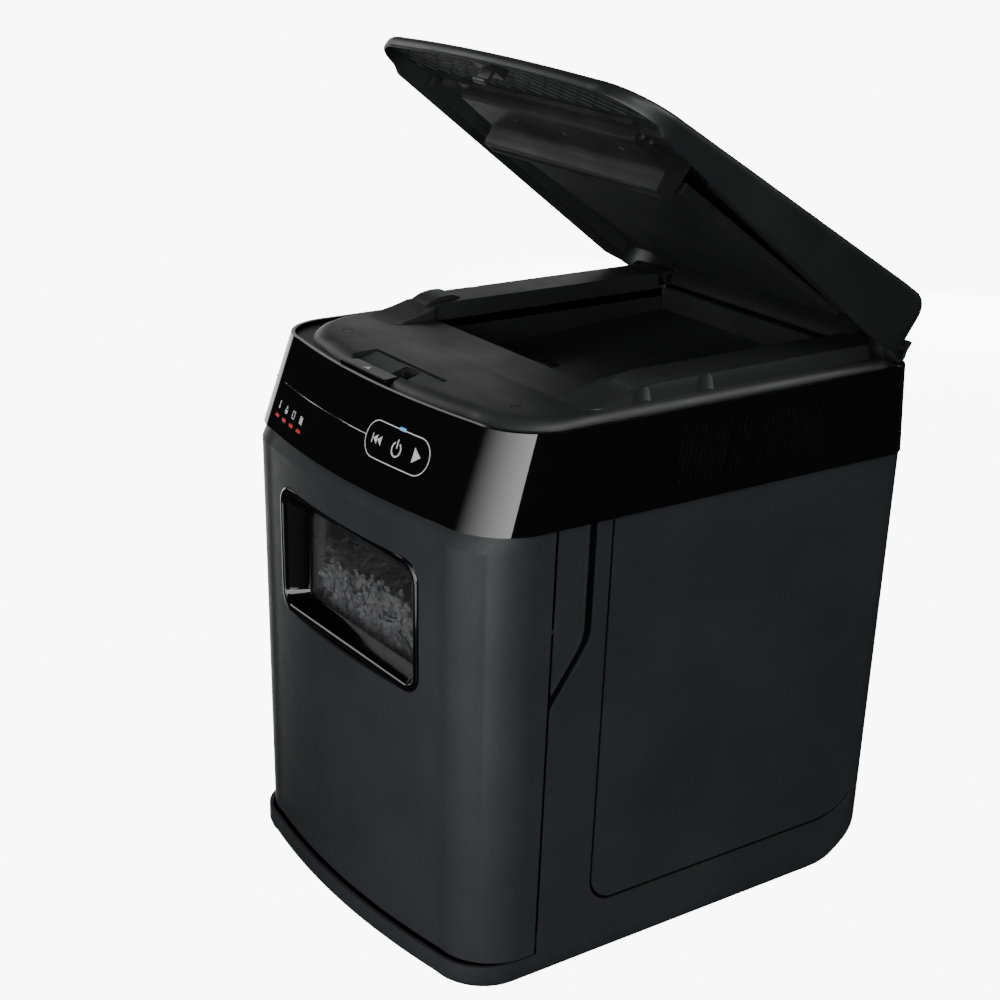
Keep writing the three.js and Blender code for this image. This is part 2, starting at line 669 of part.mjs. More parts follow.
function powerBoard() {
  const [z0, z1] = [CHASSIS_Z + CHASSIS_THICKNESS + 6, CHASSIS_Z + CHASSIS_THICKNESS + 7.6];
  let board = box(30, 130, 130, 205, z0, z1);
  board = board.add(box(40, 75, 140, 172, z1 - 1, z1 + 26));
  board = board.add(cylinderZ(9, z1 - 1, z1 + 30, 100, 155, 12));
  for (const [x, y] of [[34, 134], [126, 134], [34, 201], [126, 201]]) {
    board = board.add(cylinderZ(2.5, CHASSIS_Z + CHASSIS_THICKNESS + GAP, z0 + 1, x, y, 8));
  }
  return board;
}

function interlockSwitch() {
  const z = CHASSIS_Z + CHASSIS_THICKNESS + GAP;
  return box(140, 168, -168, -156, z, z + 16).add(box(150, 154, -172, -165, z + 8, z + 10));
}

function mainsInlet() {
  const faceY = DEPTH / 2 - BODY_INSET - BODY_TAPER * (1 - SOCKET_Z / BAND_BOTTOM);
  let inlet = prismY(roundedRectangle(INLET_X - 14.7, INLET_X + 14.7, SOCKET_Z - 11.7, SOCKET_Z + 11.7, 2, 2),
    faceY - 26, faceY - 0.5);
  const socket = rectangle(INLET_X - 12, INLET_X + 12, SOCKET_Z - 9, SOCKET_Z + 9);
  inlet = inlet.subtract(prismY(socket, faceY - 18, FAR));
  for (const [dx, dz] of [[-7, -2], [7, -2], [0, 3]]) {
    const [x, z] = [INLET_X + dx, SOCKET_Z + dz];
    inlet = inlet.add(box(x - 1, x + 1, faceY - 19, faceY - 5, z - 2, z + 2));
  }
  return inlet;
}

function rockerBezel() {
  const faceY = DEPTH / 2 - BODY_INSET - BODY_TAPER * (1 - SOCKET_Z / BAND_BOTTOM);
  const outer = prismY(rectangle(SWITCH_X - 11.7, SWITCH_X + 11.7, SOCKET_Z - 14.7, SOCKET_Z + 14.7),
    faceY - 20, faceY + 0.5);
  const well = rectangle(SWITCH_X - 8.5, SWITCH_X + 8.5, SOCKET_Z - 12, SOCKET_Z + 12);
  return outer.subtract(prismY(well, faceY - 16, FAR));
}

function rocker() {
  const tilt = 8;
  const outline = [[-5, -10.5], [4, -10.5], [6.5, 0], [4, 10.5], [-5, 10.5]];
  const angle = THREE.MathUtils.degToRad(tilt);
  const turned = outline.map(([y, z]) => [
    ROCKER_Y + y * Math.cos(angle) - z * Math.sin(angle),
    SOCKET_Z + y * Math.sin(angle) + z * Math.cos(angle),
  ]);
  return prismX(turned, SWITCH_X - 8, SWITCH_X + 8);
}

// ---- Drawer ----
function drawerFront() {
  const z0 = BASE_Z + LIP_HEIGHT + 2;
  const z1 = BAND_BOTTOM - GAP;
  let front = drawerCore(0, z0, z1).subtract(drawerCore(WALL, z0 - 1, z1 + 1));
  front = front.intersect(box(-FAR, FAR, -FAR, DRAWER_SEAM_Y, 0, FAR + 50));
  for (const x of [-95, 95]) {
    for (const z of [90, 200]) {
      const boss = box(x - 9, x + 9, -DEPTH / 2, TUB_FRONT - GAP, z - 9, z + 9);
      front = front.add(boss.intersect(drawerCore(1, z0, z1)));
    }
  }
  const holeHalf = WINDOW_HALF + GAP;
  const hole = roundedRectangle(-holeHalf, holeHalf, WINDOW_BOTTOM - GAP, WINDOW_TOP + GAP, 18);
  return front.subtract(prismY(hole, -FAR, -180));
}

function windowBezel() {
  const outline = roundedRectangle(-WINDOW_HALF, WINDOW_HALF, WINDOW_BOTTOM, WINDOW_TOP, 18);
  const ring = prismY(outline, -FAR, BEZEL_BACK_Y);
  const proud = 0.8;
  const funnel = loft('y', [
    { outline: roundedRectangle(-92, 92, 266, 347, 8), at: -BEZEL_BACK_Y - 1 },
    { outline: roundedRectangle(-104, 104, 261, 366, 13), at: -BEZEL_BACK_Y + 30 },
  ]);
  return ring.intersect(drawerCore(-proud, 200, BAND_BOTTOM)).subtract(funnel);
}

function windowPane() {
  return prismY(roundedRectangle(-96, 96, 262, 351, 8), BEZEL_BACK_Y + GAP, BEZEL_BACK_Y + 3);
}

function binTub() {
  const wall = 2.5;
  const section = (inset, spread) => roundedRectangle(
    -166 - spread + inset, 166 + spread - inset, TUB_FRONT + inset, 188 + spread - inset, 30 - inset, 5);
  const outer = loft('z', [
    { outline: section(0, 0), at: TUB_BOTTOM },
    { outline: section(0, 5), at: TUB_TOP },
  ]);
  const inner = loft('z', [
    { outline: section(wall, 0), at: TUB_BOTTOM + wall },
    { outline: section(wall, 5), at: TUB_TOP + 1 },
  ]);
  return outer.subtract(inner).subtract(box(-98, 98, TUB_FRONT - 5, TUB_FRONT + 5, 250, 400));
}

function drawerRail() {
  const outline = [[158, 33], [181, 33], [181, 46], [178, 46], [178, 36], [158, 36]];
  return prismY(outline, -148, 195);
}

// ---- Lid, in its closed position; the pivot group opens it ----
function lidTop(y) {
  return LID_BOTTOM + LID_FRONT_HEIGHT + LID_SLOPE * (y - LID_FRONT_Y);
}

function lidSide(drop) {
  const shoulder = 32 - drop;
  const shoulderY = LID_BACK_Y - 32;
  const shoulderZ = lidTop(shoulderY) - 32;
  return prismX([
    [-FAR, LID_BOTTOM - 10],
    [LID_BACK_Y + 10, LID_BOTTOM - 10],
    [LID_BACK_Y + 10, shoulderZ],
    ...arcPoints(shoulderY, shoulderZ, shoulder, 0, 85, 6),
    [LID_FRONT_Y - 10, lidTop(LID_FRONT_Y - 10) - drop],
    [-FAR, lidTop(LID_FRONT_Y - 10) - drop],
  ], -FAR, FAR);
}

function manualSlot(halfLength) {
  return box(-halfLength, halfLength, THROAT_Y - MANUAL_SLOT_HALF, THROAT_Y + MANUAL_SLOT_HALF, 470, 600);
}

function lidShell() {
  const outer = prismZ(lidPlan(0), LID_BOTTOM, LID_BOTTOM + 90).intersect(lidSide(0));
  const inner = prismZ(lidPlan(LID_WALL), LID_BOTTOM - 1, LID_BOTTOM + 90).intersect(lidSide(LID_WALL));
  const frontTrim = box(-FAR, FAR, -FAR, -135, 0, PLATEAU + 1);
  const backTrim = box(-FAR, FAR, 198, FAR, 0, HINGE_Z - 4);
  const bracketNotch = box(BRACKET_SPAN[0] - 0.5, BRACKET_SPAN[1] + 0.5, 205, FAR, 0, HINGE_Z + 13);
  let shell = outer.subtract(inner).subtract(frontTrim).subtract(backTrim);
  for (const [x0, x1] of HINGE_SPANS) {
    shell = shell.add(knuckle(x0, x1)).add(knuckle(-x1, -x0));
  }
  shell = shell.subtract(bracketNotch).subtract(bracketNotch.mirror([1, 0, 0]));
  shell = shell.subtract(cylinderX(PIN_RADIUS + GAP, -FAR, FAR, HINGE_Y, HINGE_Z, 14));
  return shell.subtract(manualSlot(THROAT_HALF));
}

function knuckle(x0, x1) {
  const barrel = cylinderX(HINGE_RADIUS, x0, x1, HINGE_Y, HINGE_Z, 14);
  return barrel.add(box(x0, x1, HINGE_Y + 2, LID_BACK_Y - 1, HINGE_Z - 3, HINGE_Z + 14));
}

function lidLiner() {
  const thickness = 2.4;
  const outline = [
    ...LINER,
    ...LINER.toReversed().map(([y, z]) => [y, z + thickness]),
  ];
  let liner = prismX(outline, -FAR, FAR).intersect(prismZ(lidPlan(LID_WALL + GAP), 400, 600));
  for (const x of [-124, 120]) liner = liner.add(box(x, x + 4, -36, 190, 509, 515));
  return liner.subtract(manualSlot(THROAT_HALF));
}

function manualFeedChute() {
  const outline = [
    [-118, 498], [-59.5, 496.5], [-59, 478], [-43, 478], [-41, 500], [-41, 513], [-66, 512.8], [-112, 505.1],
    [-118, 503.6],
  ];
  const block = prismX(outline, -THROAT_HALF - 1, THROAT_HALF + 1);
  return block.subtract(manualSlot(THROAT_HALF - 2));
}

function lidCatch() {
  const outline = [
    [CATCH_Y - 4, 483], [CATCH_Y + 1, 483], [CATCH_Y + 1, 498], [CATCH_Y - 2, 498],
    [CATCH_Y - 2, 487], [CATCH_Y - 4, 486],
  ];
  return prismX(outline, CATCH_X - 8, CATCH_X + 8);
}

function hingePin() {
  return cylinderX(PIN_RADIUS, 129, 180, HINGE_Y, HINGE_Z, 14);
}

function hingeBracket() {
  const [x0, x1] = BRACKET_SPAN;
  const upright = box(x0, x1, HINGE_Y - 6, HINGE_Y + 7, DECK_LEDGE + GAP, HINGE_Z);
  const barrel = cylinderX(HINGE_RADIUS, x0, x1, HINGE_Y, HINGE_Z, 14);
  return upright.add(barrel).subtract(cylinderX(PIN_RADIUS + GAP, x0 - 1, x1 + 1, HINGE_Y, HINGE_Z, 14));
}

function pressurePlate() {
  const thickness = 2.6;
  const { half, frontY, backY, frontZ, backZ } = PLATE;
  const sheet = prismX([
    [frontY, frontZ], [backY, backZ], [backY, backZ + thickness], [frontY, frontZ + thickness],
  ], -half, half);
  const turnUp = prismX([
    [frontY, frontZ + 1], [frontY + 2.5, frontZ + 1], [frontY + 2.5, frontZ + 9], [frontY, frontZ + 9],
  ], -half, half);
  return sheet.add(turnUp);
}

// ---- Assembly ----
const CUTTER_STEP = 360 / CUTTER_TEETH;

place('base_tray', baseTray(), SATIN);
for (const [name, x, y] of [
  ['front_left', -130, -180], ['front_right', 130, -180], ['back_left', -130, 130], ['back_right', 130, 130],
]) {
  place(`foot_${name}`, cylinderZ(FOOT_RADIUS, 0, FOOT_HEIGHT, x, y, 20), RUBBER);
}
placePair('side_panel', sidePanel(), SATIN);
place('rear_panel', rearPanel(), SATIN);
place('control_band', controlBand(), GLOSS);
place('status_light_pipe', statusLightPipe(), RED);
place('power_light', powerLight(), BLUE);
place('top_deck', topDeck(), MATTE);
place('deck_screw_left', deckScrew(-SCREW_X), STEEL);
place('deck_screw_right', deckScrew(SCREW_X), STEEL);
place('latch_key', latchKey(), GLOSS);
place('feed_tray', feedTray(), MATTE);
place('throat_guide', throatGuide(), MATTE);
placePair('hinge_bracket', hingeBracket(), MATTE);

place('chassis_plate', chassisPlate(), STEEL);
place('cutter_frame_left', cutterFrame(-FRAME_INNER_X - FRAME_THICKNESS, MOTOR_Y + 40), STEEL);
place('cutter_frame_right', cutterFrame(FRAME_INNER_X, FEED_Y + 24), STEEL);
for (const [name, y] of [['front', FRONT_CUTTER_Y - 28], ['rear', REAR_CUTTER_Y + 30]]) {
  const rod = cylinderX(5, -FRAME_INNER_X + GAP, FRAME_INNER_X - GAP, y, CUTTER_Z - 36, 12);
  place(`tie_rod_${name}`, rod, STEEL);
}
place('stripper_front', stripper(FRONT_CUTTER_Y - 34, FRONT_CUTTER_Y - 26, FRONT_CUTTER_Y - 19, 0.5), DARK);
place('stripper_rear', stripper(REAR_CUTTER_Y + 26, REAR_CUTTER_Y + 34, REAR_CUTTER_Y + 19, -9.5), DARK);
place('cutter_front', cutter(FRONT_CUTTER_Y, 1, -141.5, 134), STEEL);
place('cutter_rear', cutter(REAR_CUTTER_Y, 11, -141.5, 143), STEEL);
place('cutter_front_gear',
  gear(CUTTER_TEETH, GEAR_MODULE, SHAFT_BORE, -141, -135, FRONT_CUTTER_Y, CUTTER_Z, 0), GEARING);
place('cutter_rear_gear',
  gear(CUTTER_TEETH, GEAR_MODULE, SHAFT_BORE, -141, -135, REAR_CUTTER_Y, CUTTER_Z,
    180 + CUTTER_STEP / 2), GEARING);
place('cutter_rear_pulley',
  cylinderX(PULLEY_RADIUS, 136.5, 141.5, REAR_CUTTER_Y, CUTTER_Z, 20).subtract(
    cylinderX(SHAFT_BORE, 130, 150, REAR_CUTTER_Y, CUTTER_Z)), DARK);
const layshaftPinion = gear(LAYSHAFT_TEETH, GEAR_MODULE, 0, -141, -135, LAYSHAFT_Y, CUTTER_Z, 180);
place('layshaft_pinion', layshaftPinion.add(cylinderX(4, -151, -128.5, LAYSHAFT_Y, CUTTER_Z, 12)), GEARING);
place('layshaft_gear',
  gear(REDUCTION_TEETH, MOTOR_MODULE, 4 + GAP, -149.5, -143.5, LAYSHAFT_Y, CUTTER_Z, 0), GEARING);
place('motor_pinion',
  gear(PINION_TEETH, MOTOR_MODULE, 0, -149.5, -143.5, MOTOR_Y, CUTTER_Z, 180 + 180 / PINION_TEETH).add(
    cylinderX(3, -146, -115, MOTOR_Y, CUTTER_Z, 10)), STEEL);
place('motor', motor(), STEEL);
place('gear_guard',
  box(-155, -152.5, FRONT_CUTTER_Y - 30, MOTOR_Y + 30, CUTTER_Z - 38, CUTTER_Z + 38), DARK);
place('feed_shaft', cylinderX(4, -134, 143, FEED_Y, FEED_Z, 12), STEEL);
for (const [name, x] of [['left', ROLLER_XS[0]], ['right', ROLLER_XS[1]]]) {
  const tyre = cylinderX(FEED_RADIUS, x - 10, x + 10, FEED_Y, FEED_Z, 24);
  place(`feed_roller_${name}`, tyre.subtract(cylinderX(4 + GAP, x - 11, x + 11, FEED_Y, FEED_Z, 12)), RUBBER);
}
place('feed_pulley',
  cylinderX(PULLEY_RADIUS, 136.5, 141.5, FEED_Y, FEED_Z, 20).subtract(
    cylinderX(4 + GAP, 130, 150, FEED_Y, FEED_Z, 12)), DARK);
place('feed_belt', feedBelt(), RUBBER);
place('control_board', controlBoard(), BOARD);
place('power_board', powerBoard(), BOARD);
place('interlock_switch', interlockSwitch(), DARK);
place('mains_inlet', mainsInlet(), DARK);
place('rocker_bezel', rockerBezel(), DARK);
place('power_rocker', rocker(), DARK);

place('drawer_front', drawerFront(), SATIN);
place('window_bezel', windowBezel(), GLOSS);
place('window_pane', windowPane(), CLEAR);
place('bin_tub', binTub(), DARK);
placePair('drawer_rail', drawerRail(), DARK);

place('lid_shell', lidShell(), MATTE, lid);
place('lid_liner', lidLiner(), MATTE, lid);
place('manual_feed_chute', manualFeedChute(), DARK, lid);
place('lid_catch', lidCatch(), DARK, lid);
placePair('lid_hinge_pin', hingePin(), STEEL, lid);
place('pressure_plate', pressurePlate(), DARK, lid);

// The origin is under the middle of the object's box, lid open.
const extent = new THREE.Box3().setFromObject(shredder, true);
shredder.position.y = -(extent.min.y + extent.max.y) / 2;

export default shredder;
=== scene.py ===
import fnmatch
import random
from math import cos, hypot, radians, sin, sqrt

import bmesh
import bpy
from mathutils import Matrix, Vector


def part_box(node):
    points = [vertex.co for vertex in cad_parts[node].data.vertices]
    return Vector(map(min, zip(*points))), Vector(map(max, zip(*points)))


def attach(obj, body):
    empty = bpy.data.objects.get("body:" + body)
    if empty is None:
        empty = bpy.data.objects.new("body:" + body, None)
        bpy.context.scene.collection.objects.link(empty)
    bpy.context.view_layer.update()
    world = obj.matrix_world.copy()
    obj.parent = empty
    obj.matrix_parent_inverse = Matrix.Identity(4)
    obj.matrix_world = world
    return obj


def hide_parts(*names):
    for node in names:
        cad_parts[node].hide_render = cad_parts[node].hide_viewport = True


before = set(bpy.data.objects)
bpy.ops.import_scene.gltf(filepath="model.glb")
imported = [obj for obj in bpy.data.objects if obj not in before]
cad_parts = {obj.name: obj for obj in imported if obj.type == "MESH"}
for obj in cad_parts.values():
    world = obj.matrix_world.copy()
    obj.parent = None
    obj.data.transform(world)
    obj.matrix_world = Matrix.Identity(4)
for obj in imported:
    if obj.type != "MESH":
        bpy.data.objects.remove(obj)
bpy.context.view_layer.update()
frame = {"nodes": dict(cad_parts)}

# ---- Driving dimensions, in millimetres, as in the CAD ----
MM = 0.001
WIDTH = 380
DEPTH = 475
WALL = 3.5
BASE_Z = 6.3
LIP_HEIGHT = 22
BAND_BOTTOM = 412
BAND_TOP = 490
PANEL_SET_BACK = 27
PANEL_FOOT_SET_BACK = 4
BAND_LEAN = 4
FRONT_BOW = 12
FRONT_CORNER = 55
BACK_CORNER = 25
BACK_CORNER_LEAST = 6
HEEL_RADIUS = 85
SEAM_Y = -152
BACK_SEAM_Y = 228
HINGE_Y = 219
HINGE_Z = 499
LID_OPEN = radians(-37)
LID_BOTTOM = 491
LID_FRONT_Y = -187
LID_BACK_Y = 226.5
LID_FRONT_HEIGHT = 15
LID_SLOPE = 0.116
LID_HALF = WIDTH / 2 - 5
LID_FRONT_CORNER, LID_BACK_CORNER, LID_CORNER_LEAST = 50, 28, 4
LID_BOW = 8
PLATEAU = 494
DECK_LEDGE = 486
THROAT_Y = -51
PANEL_START_Y = SEAM_Y + 3.0
WALL_TOP = BAND_BOTTOM - 0.3
FAR = 400  # past every piece sideways
HIGH = 450  # above the housing's walls
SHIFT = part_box("control_band")[0][1] / MM + DEPTH / 2


def at(x, y, z):
    return Vector((x * MM, (y + SHIFT) * MM, z * MM))


def into_scene(obj):
    bpy.context.scene.collection.objects.link(obj)
    return obj


# ---- Camera ----
CAMERA_AT = at(1251, -979, 936)
CAMERA_AZIMUTH, CAMERA_ELEVATION, CAMERA_ROLL = (radians(a) for a in (54.0, 20.4, 2.1))
SENSOR = 36
FOCAL_PIXELS = 1886.8
FRAME_PIXELS = 1000


def make_camera():
    camera = into_scene(bpy.data.objects.new("camera", bpy.data.cameras.new("camera")))
    flat = cos(CAMERA_ELEVATION)
    back = Vector((
        sin(CAMERA_AZIMUTH) * flat, -cos(CAMERA_AZIMUTH) * flat, sin(CAMERA_ELEVATION)))
    right = Vector((cos(CAMERA_AZIMUTH), sin(CAMERA_AZIMUTH), 0))
    up = back.cross(right)
    turned_right = cos(CAMERA_ROLL) * right + sin(CAMERA_ROLL) * up
    turned_up = cos(CAMERA_ROLL) * up - sin(CAMERA_ROLL) * right
    basis = Matrix((turned_right, turned_up, back)).transposed().to_4x4()
    camera.matrix_world = Matrix.Translation(CAMERA_AT) @ basis
    camera.data.sensor_width = SENSOR
    camera.data.lens = FOCAL_PIXELS * SENSOR / FRAME_PIXELS
    camera.data.clip_start = 0.05
    camera.data.clip_end = 50
    bpy.context.scene.camera = camera


make_camera()


# ---- Outlines: closed lists of (u, v) points, anticlockwise ----
def arc(cu, cv, radius, start, end, steps):
    span = radians(end - start)
    first = radians(start)
    return [
        (cu + radius * cos(first + span * i / steps), cv + radius * sin(first + span * i / steps))
        for i in range(steps + 1)
    ]


def rectangle(u0, u1, v0, v1):
    return [(u0, v0), (u1, v0), (u1, v1), (u0, v1)]


def rounded(u0, u1, v0, v1, radius, steps=8):
    return [
        *arc(u1 - radius, v0 + radius, radius, -90, 0, steps),
        *arc(u1 - radius, v1 - radius, radius, 0, 90, steps),
        *arc(u0 + radius, v1 - radius, radius, 90, 180, steps),
        *arc(u0 + radius, v0 + radius, radius, 180, 270, steps),
    ]


def bowed_plan(half, front, back, front_radius, back_radius, bow):
    """Seen from above: a front that bows out, round corners and straight sides and back."""
    flat = half - front_radius
    corner_y = front + bow + front_radius
    bow_steps, side_steps, front_steps, back_steps = 32, 16, 24, 12
    between = [i / side_steps for i in range(1, side_steps)]
    points = []
    for i in range(bow_steps + 1):
        x = -flat + 2 * flat * i / bow_steps
        points.append((x, front + bow * (x / flat) ** 2))
    points += arc(flat, corner_y, front_radius, -90, 0, front_steps)[1:]
    points += [(half, corner_y * (1 - t) + (back - back_radius) * t) for t in between]
    points += arc(half - back_radius, back - back_radius, back_radius, 0, 90, back_steps)
    points += [((half - back_radius) * (1 - 2 * t), back) for t in between]
    points += arc(-half + back_radius, back - back_radius, back_radius, 90, 180, back_steps)
    points += [(-half, corner_y * t + (back - back_radius) * (1 - t)) for t in between]
    points += arc(-flat, corner_y, front_radius, 180, 270, front_steps)[:-1]
    return points


def housing_plan(inset, set_back=0.0, front_radius=FRONT_CORNER):
    return bowed_plan(
        WIDTH / 2 - inset,
        -DEPTH / 2 + inset + set_back,
        DEPTH / 2 - inset,
        front_radius - inset,
        max(BACK_CORNER - inset, BACK_CORNER_LEAST),
        FRONT_BOW,
    )


def front_y(x, inset, set_back):
    return -DEPTH / 2 + inset + set_back + FRONT_BOW * (x / (WIDTH / 2 - FRONT_CORNER)) ** 2


def lid_plan(inset):
    return bowed_plan(
        LID_HALF - inset,
        LID_FRONT_Y + inset,
        LID_BACK_Y - inset,
        max(LID_FRONT_CORNER - inset, LID_CORNER_LEAST),
        max(LID_BACK_CORNER - inset, LID_CORNER_LEAST),
        LID_BOW,
    )


def softened(points, radius, steps=6):
    """Rounds each corner of a closed outline; radius is one number or one per corner."""
    radii = radius if isinstance(radius, (list, tuple)) else [radius] * len(points)
    out = []
    for i, corner in enumerate(points):
        here = Vector(corner)
        before = Vector(points[i - 1]) - here
        after = Vector(points[(i + 1) % len(points)]) - here
        r = min(radii[i], before.length * 0.49, after.length * 0.49)
        if r <= 0:
            out.append(tuple(here))
            continue
        a, b = here + before.normalized() * r, here + after.normalized() * r
        for k in range(steps + 1):
            t = k / steps
            out.append(tuple(a * (1 - t) ** 2 + here * 2 * t * (1 - t) + b * t * t))
    return out


# ---- Solids ----
SAME_POINT, SHORT_EDGE, FLAT_ANGLE = 0.03, 0.02, 0.2
ROUND_SIDES = 40
AXES = {
    "x": lambda u, v, w: (w, u, v),
    "y": lambda u, v, w: (u, -w, v),
    "z": lambda u, v, w: (u, v, w),
}


def make(points, faces):
    mesh = bpy.data.meshes.new("part")
    mesh.from_pydata([at(*p) for p in points], [], faces)
    return into_scene(bpy.data.objects.new("part", mesh))


def band_faces(levels, count, closed=False):
    faces = []
    for level in range(levels if closed else levels - 1):
        low, high = level * count, ((level + 1) % levels) * count
        for i in range(count):
            j = (i + 1) % count
            faces.append((low + i, low + j, high + j, high + i))
    return faces


def run_faces(first, spans):
    """Faces of a closed strip whose points come four to a section, numbered from first."""
    faces = []
    for a in range(first, first + 4 * spans, 4):
        b = a + 4
        faces += [
            (a, a + 2, b + 2, b), (a + 1, b + 1, b + 3, a + 3), (a, b, b + 1, a + 1),
            (a + 2, a + 3, b + 3, b + 2)]
    last = first + 4 * spans
    return faces + [(first, first + 1, first + 3, first + 2), (last, last + 2, last + 3, last + 1)]


def loft(axis, sections):
    count = len(sections[0][0])
    points = [AXES[axis](u, v, w) for outline, w in sections for u, v in outline]
    faces = band_faces(len(sections), count)
    faces.append(tuple(reversed(range(count))))
    faces.append(tuple(range((len(sections) - 1) * count, len(sections) * count)))
    return make(points, faces)


def prism_x(outline, x0, x1):
    return loft("x", [(outline, x0), (outline, x1)])


def prism_y(outline, y0, y1):
    return loft("y", [(outline, -y1), (outline, -y0)])


def prism_z(outline, z0, z1):
    return loft("z", [(outline, z0), (outline, z1)])


def box(x0, x1, y0, y1, z0, z1):
    return prism_z(rectangle(x0, x1, y0, y1), z0, z1)


def cylinder_x(radius, x0, x1, y, z):
    return prism_x(arc(y, z, radius, 0, 360, ROUND_SIDES)[:-1], x0, x1)


def cylinder_z(radius, z0, z1, x, y, sides=ROUND_SIDES):
    return prism_z(arc(x, y, radius, 0, 360, sides)[:-1], z0, z1)


def settle(obj):
    """Turns what the modifiers make into the object's own mesh."""
    graph = bpy.context.evaluated_depsgraph_get()
    mesh = bpy.data.meshes.new_from_object(obj.evaluated_get(graph))
    obj.modifiers.clear()
    old = obj.data
    obj.data = mesh
    bpy.data.meshes.remove(old)
    return obj


def combine(base, tool, operation):
    modifier = base.modifiers.new("combine", "BOOLEAN")
    modifier.operation = operation
    modifier.solver = "MANIFOLD"
    modifier.object = tool
    settle(base)
    bpy.data.objects.remove(tool)
    return base


def cut(base, *tools):
    for tool in tools:
        combine(base, tool, "DIFFERENCE")
    return base


def add(base, *tools):
    for tool in tools:
        combine(base, tool, "UNION")
    return base


def keep(base, tool):
    return combine(base, tool, "INTERSECT")


def mirrored(obj):
    twin = obj.copy()
    twin.data = obj.data.copy()
    into_scene(twin)
    twin.data.transform(Matrix.Scale(-1, 4, (1, 0, 0)))
    twin.data.flip_normals()
    return twin


def clean(obj):
    """Merges points that fall together and removes edges that lie in a flat face."""
    mesh = bmesh.new()
    mesh.from_mesh(obj.data)
    bmesh.ops.remove_doubles(mesh, verts=mesh.verts, dist=SAME_POINT * MM)
    bmesh.ops.dissolve_degenerate(mesh, edges=mesh.edges, dist=SHORT_EDGE * MM)
    bmesh.ops.dissolve_limit(
        mesh, angle_limit=radians(FLAT_ANGLE), verts=mesh.verts, edges=mesh.edges, delimit={"NORMAL"})
    mesh.to_mesh(obj.data)
    mesh.free()


def open_lid(obj):
    hinge = at(0, HINGE_Y, HINGE_Z)
    turn = Matrix.Translation(hinge) @ Matrix.Rotation(LID_OPEN, 4, "X") @ Matrix.Translation(-hinge)
    obj.data.transform(turn)
    return obj


def soften_edges(obj, width, angle=32, segments=3):
    modifier = obj.modifiers.new("edges", "BEVEL")
    modifier.width = width * MM
    modifier.segments = segments
    modifier.limit_method = "ANGLE"
    modifier.angle_limit = radians(angle)
    modifier.harden_normals = True
    return obj


def piece(obj, name, body, material, replaces=(), edge=0.0, angle=32, sharp=32, tidy=True):
    """Names, smooths and attaches a visible piece to its body, hiding the CAD parts it replaces; edge is the
    width of its rounded edges.
    """
    obj.name = name
    obj.data.name = name
    if tidy:
        clean(obj)
    obj.data.shade_smooth()
    if edge > 0:
        settle(soften_edges(obj, edge, angle))
    else:
        obj.data.set_sharp_from_angle(angle=radians(sharp))
    obj.data.materials.clear()
    obj.data.materials.append(material)
    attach(obj, body)
    if replaces:
        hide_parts(*replaces)
    return obj


# ---- Materials ----
def add_node(tree, kind, values, **settings):
    """A shader node with its sockets set; a value that is an output is linked in."""
    node = tree.nodes.new("ShaderNode" + kind)
    for name, value in settings.items():
        setattr(node, name, value)
    for socket, value in values.items():
        set_socket(tree, node.inputs[socket], value)
    return node


def set_socket(tree, socket, value):
    if isinstance(value, bpy.types.NodeSocket):
        tree.links.new(value, socket)
    else:
        socket.default_value = value


class Nodes:
    """Builds one procedural material in the object's own space."""

    def __init__(self, name):
        self.material = bpy.data.materials.new(name)
        self.material.use_nodes = True
        self.tree = self.material.node_tree
        self.shader = self.tree.nodes["Principled BSDF"]
        self.space = self.add("TexCoord").outputs["Object"]

    def add(self, kind, values=(), **settings):
        return add_node(self.tree, kind, dict(values), **settings)

    def noise(self, scale, detail=3.0, roughness=0.55, stretch=None):
        space = self.space
        if stretch:
            space = self.add("Mapping", {"Vector": space, "Scale": stretch}).outputs["Vector"]
        values = {"Vector": space, "Scale": scale, "Detail": detail, "Roughness": roughness}
        return self.add("TexNoise", values).outputs["Fac"]

    def ramp(self, source, low, high, start=0.3, end=0.7):
        values = {"Value": source, "From Min": start, "From Max": end, "To Min": low, "To Max": high}
        return self.add("MapRange", values).outputs["Result"]

    def blend(self, source, low, high, start=0.3, end=0.7):
        node = self.add("ValToRGB", {"Fac": source})
        for stop, place, colour in zip(node.color_ramp.elements, (start, end), (low, high)):
            stop.position = place
            stop.color = (*colour, 1)
        return node.outputs["Color"]

    def bump(self, source, strength, distance, after=None):
        values = {"Height": source, "Strength": strength, "Distance": distance}
        if after is not None:
            values["Normal"] = after
        return self.add("Bump", values).outputs["Normal"]

    def set(self, socket, value):
        set_socket(self.tree, self.shader.inputs[socket], value)


def moulded(name, low, high, rough, grain=1400.0, depth=0.05, strength=0.35, patch=18.0, ior=1.46):
    """Moulded plastic: slow tone drift, fine spark grain and drifting roughness."""
    n = Nodes(name)
    slow = n.noise(patch, 2.0)
    fine = n.noise(grain, 2.0, 0.6)
    n.set("Base Color", n.blend(slow, low, high, 0.35, 0.65))
    n.set("Roughness", n.ramp(n.noise(patch * 3, 4.0), *rough))
    n.set("Normal", n.bump(fine, strength, depth * MM))
    n.set("IOR", ior)
    return n.material


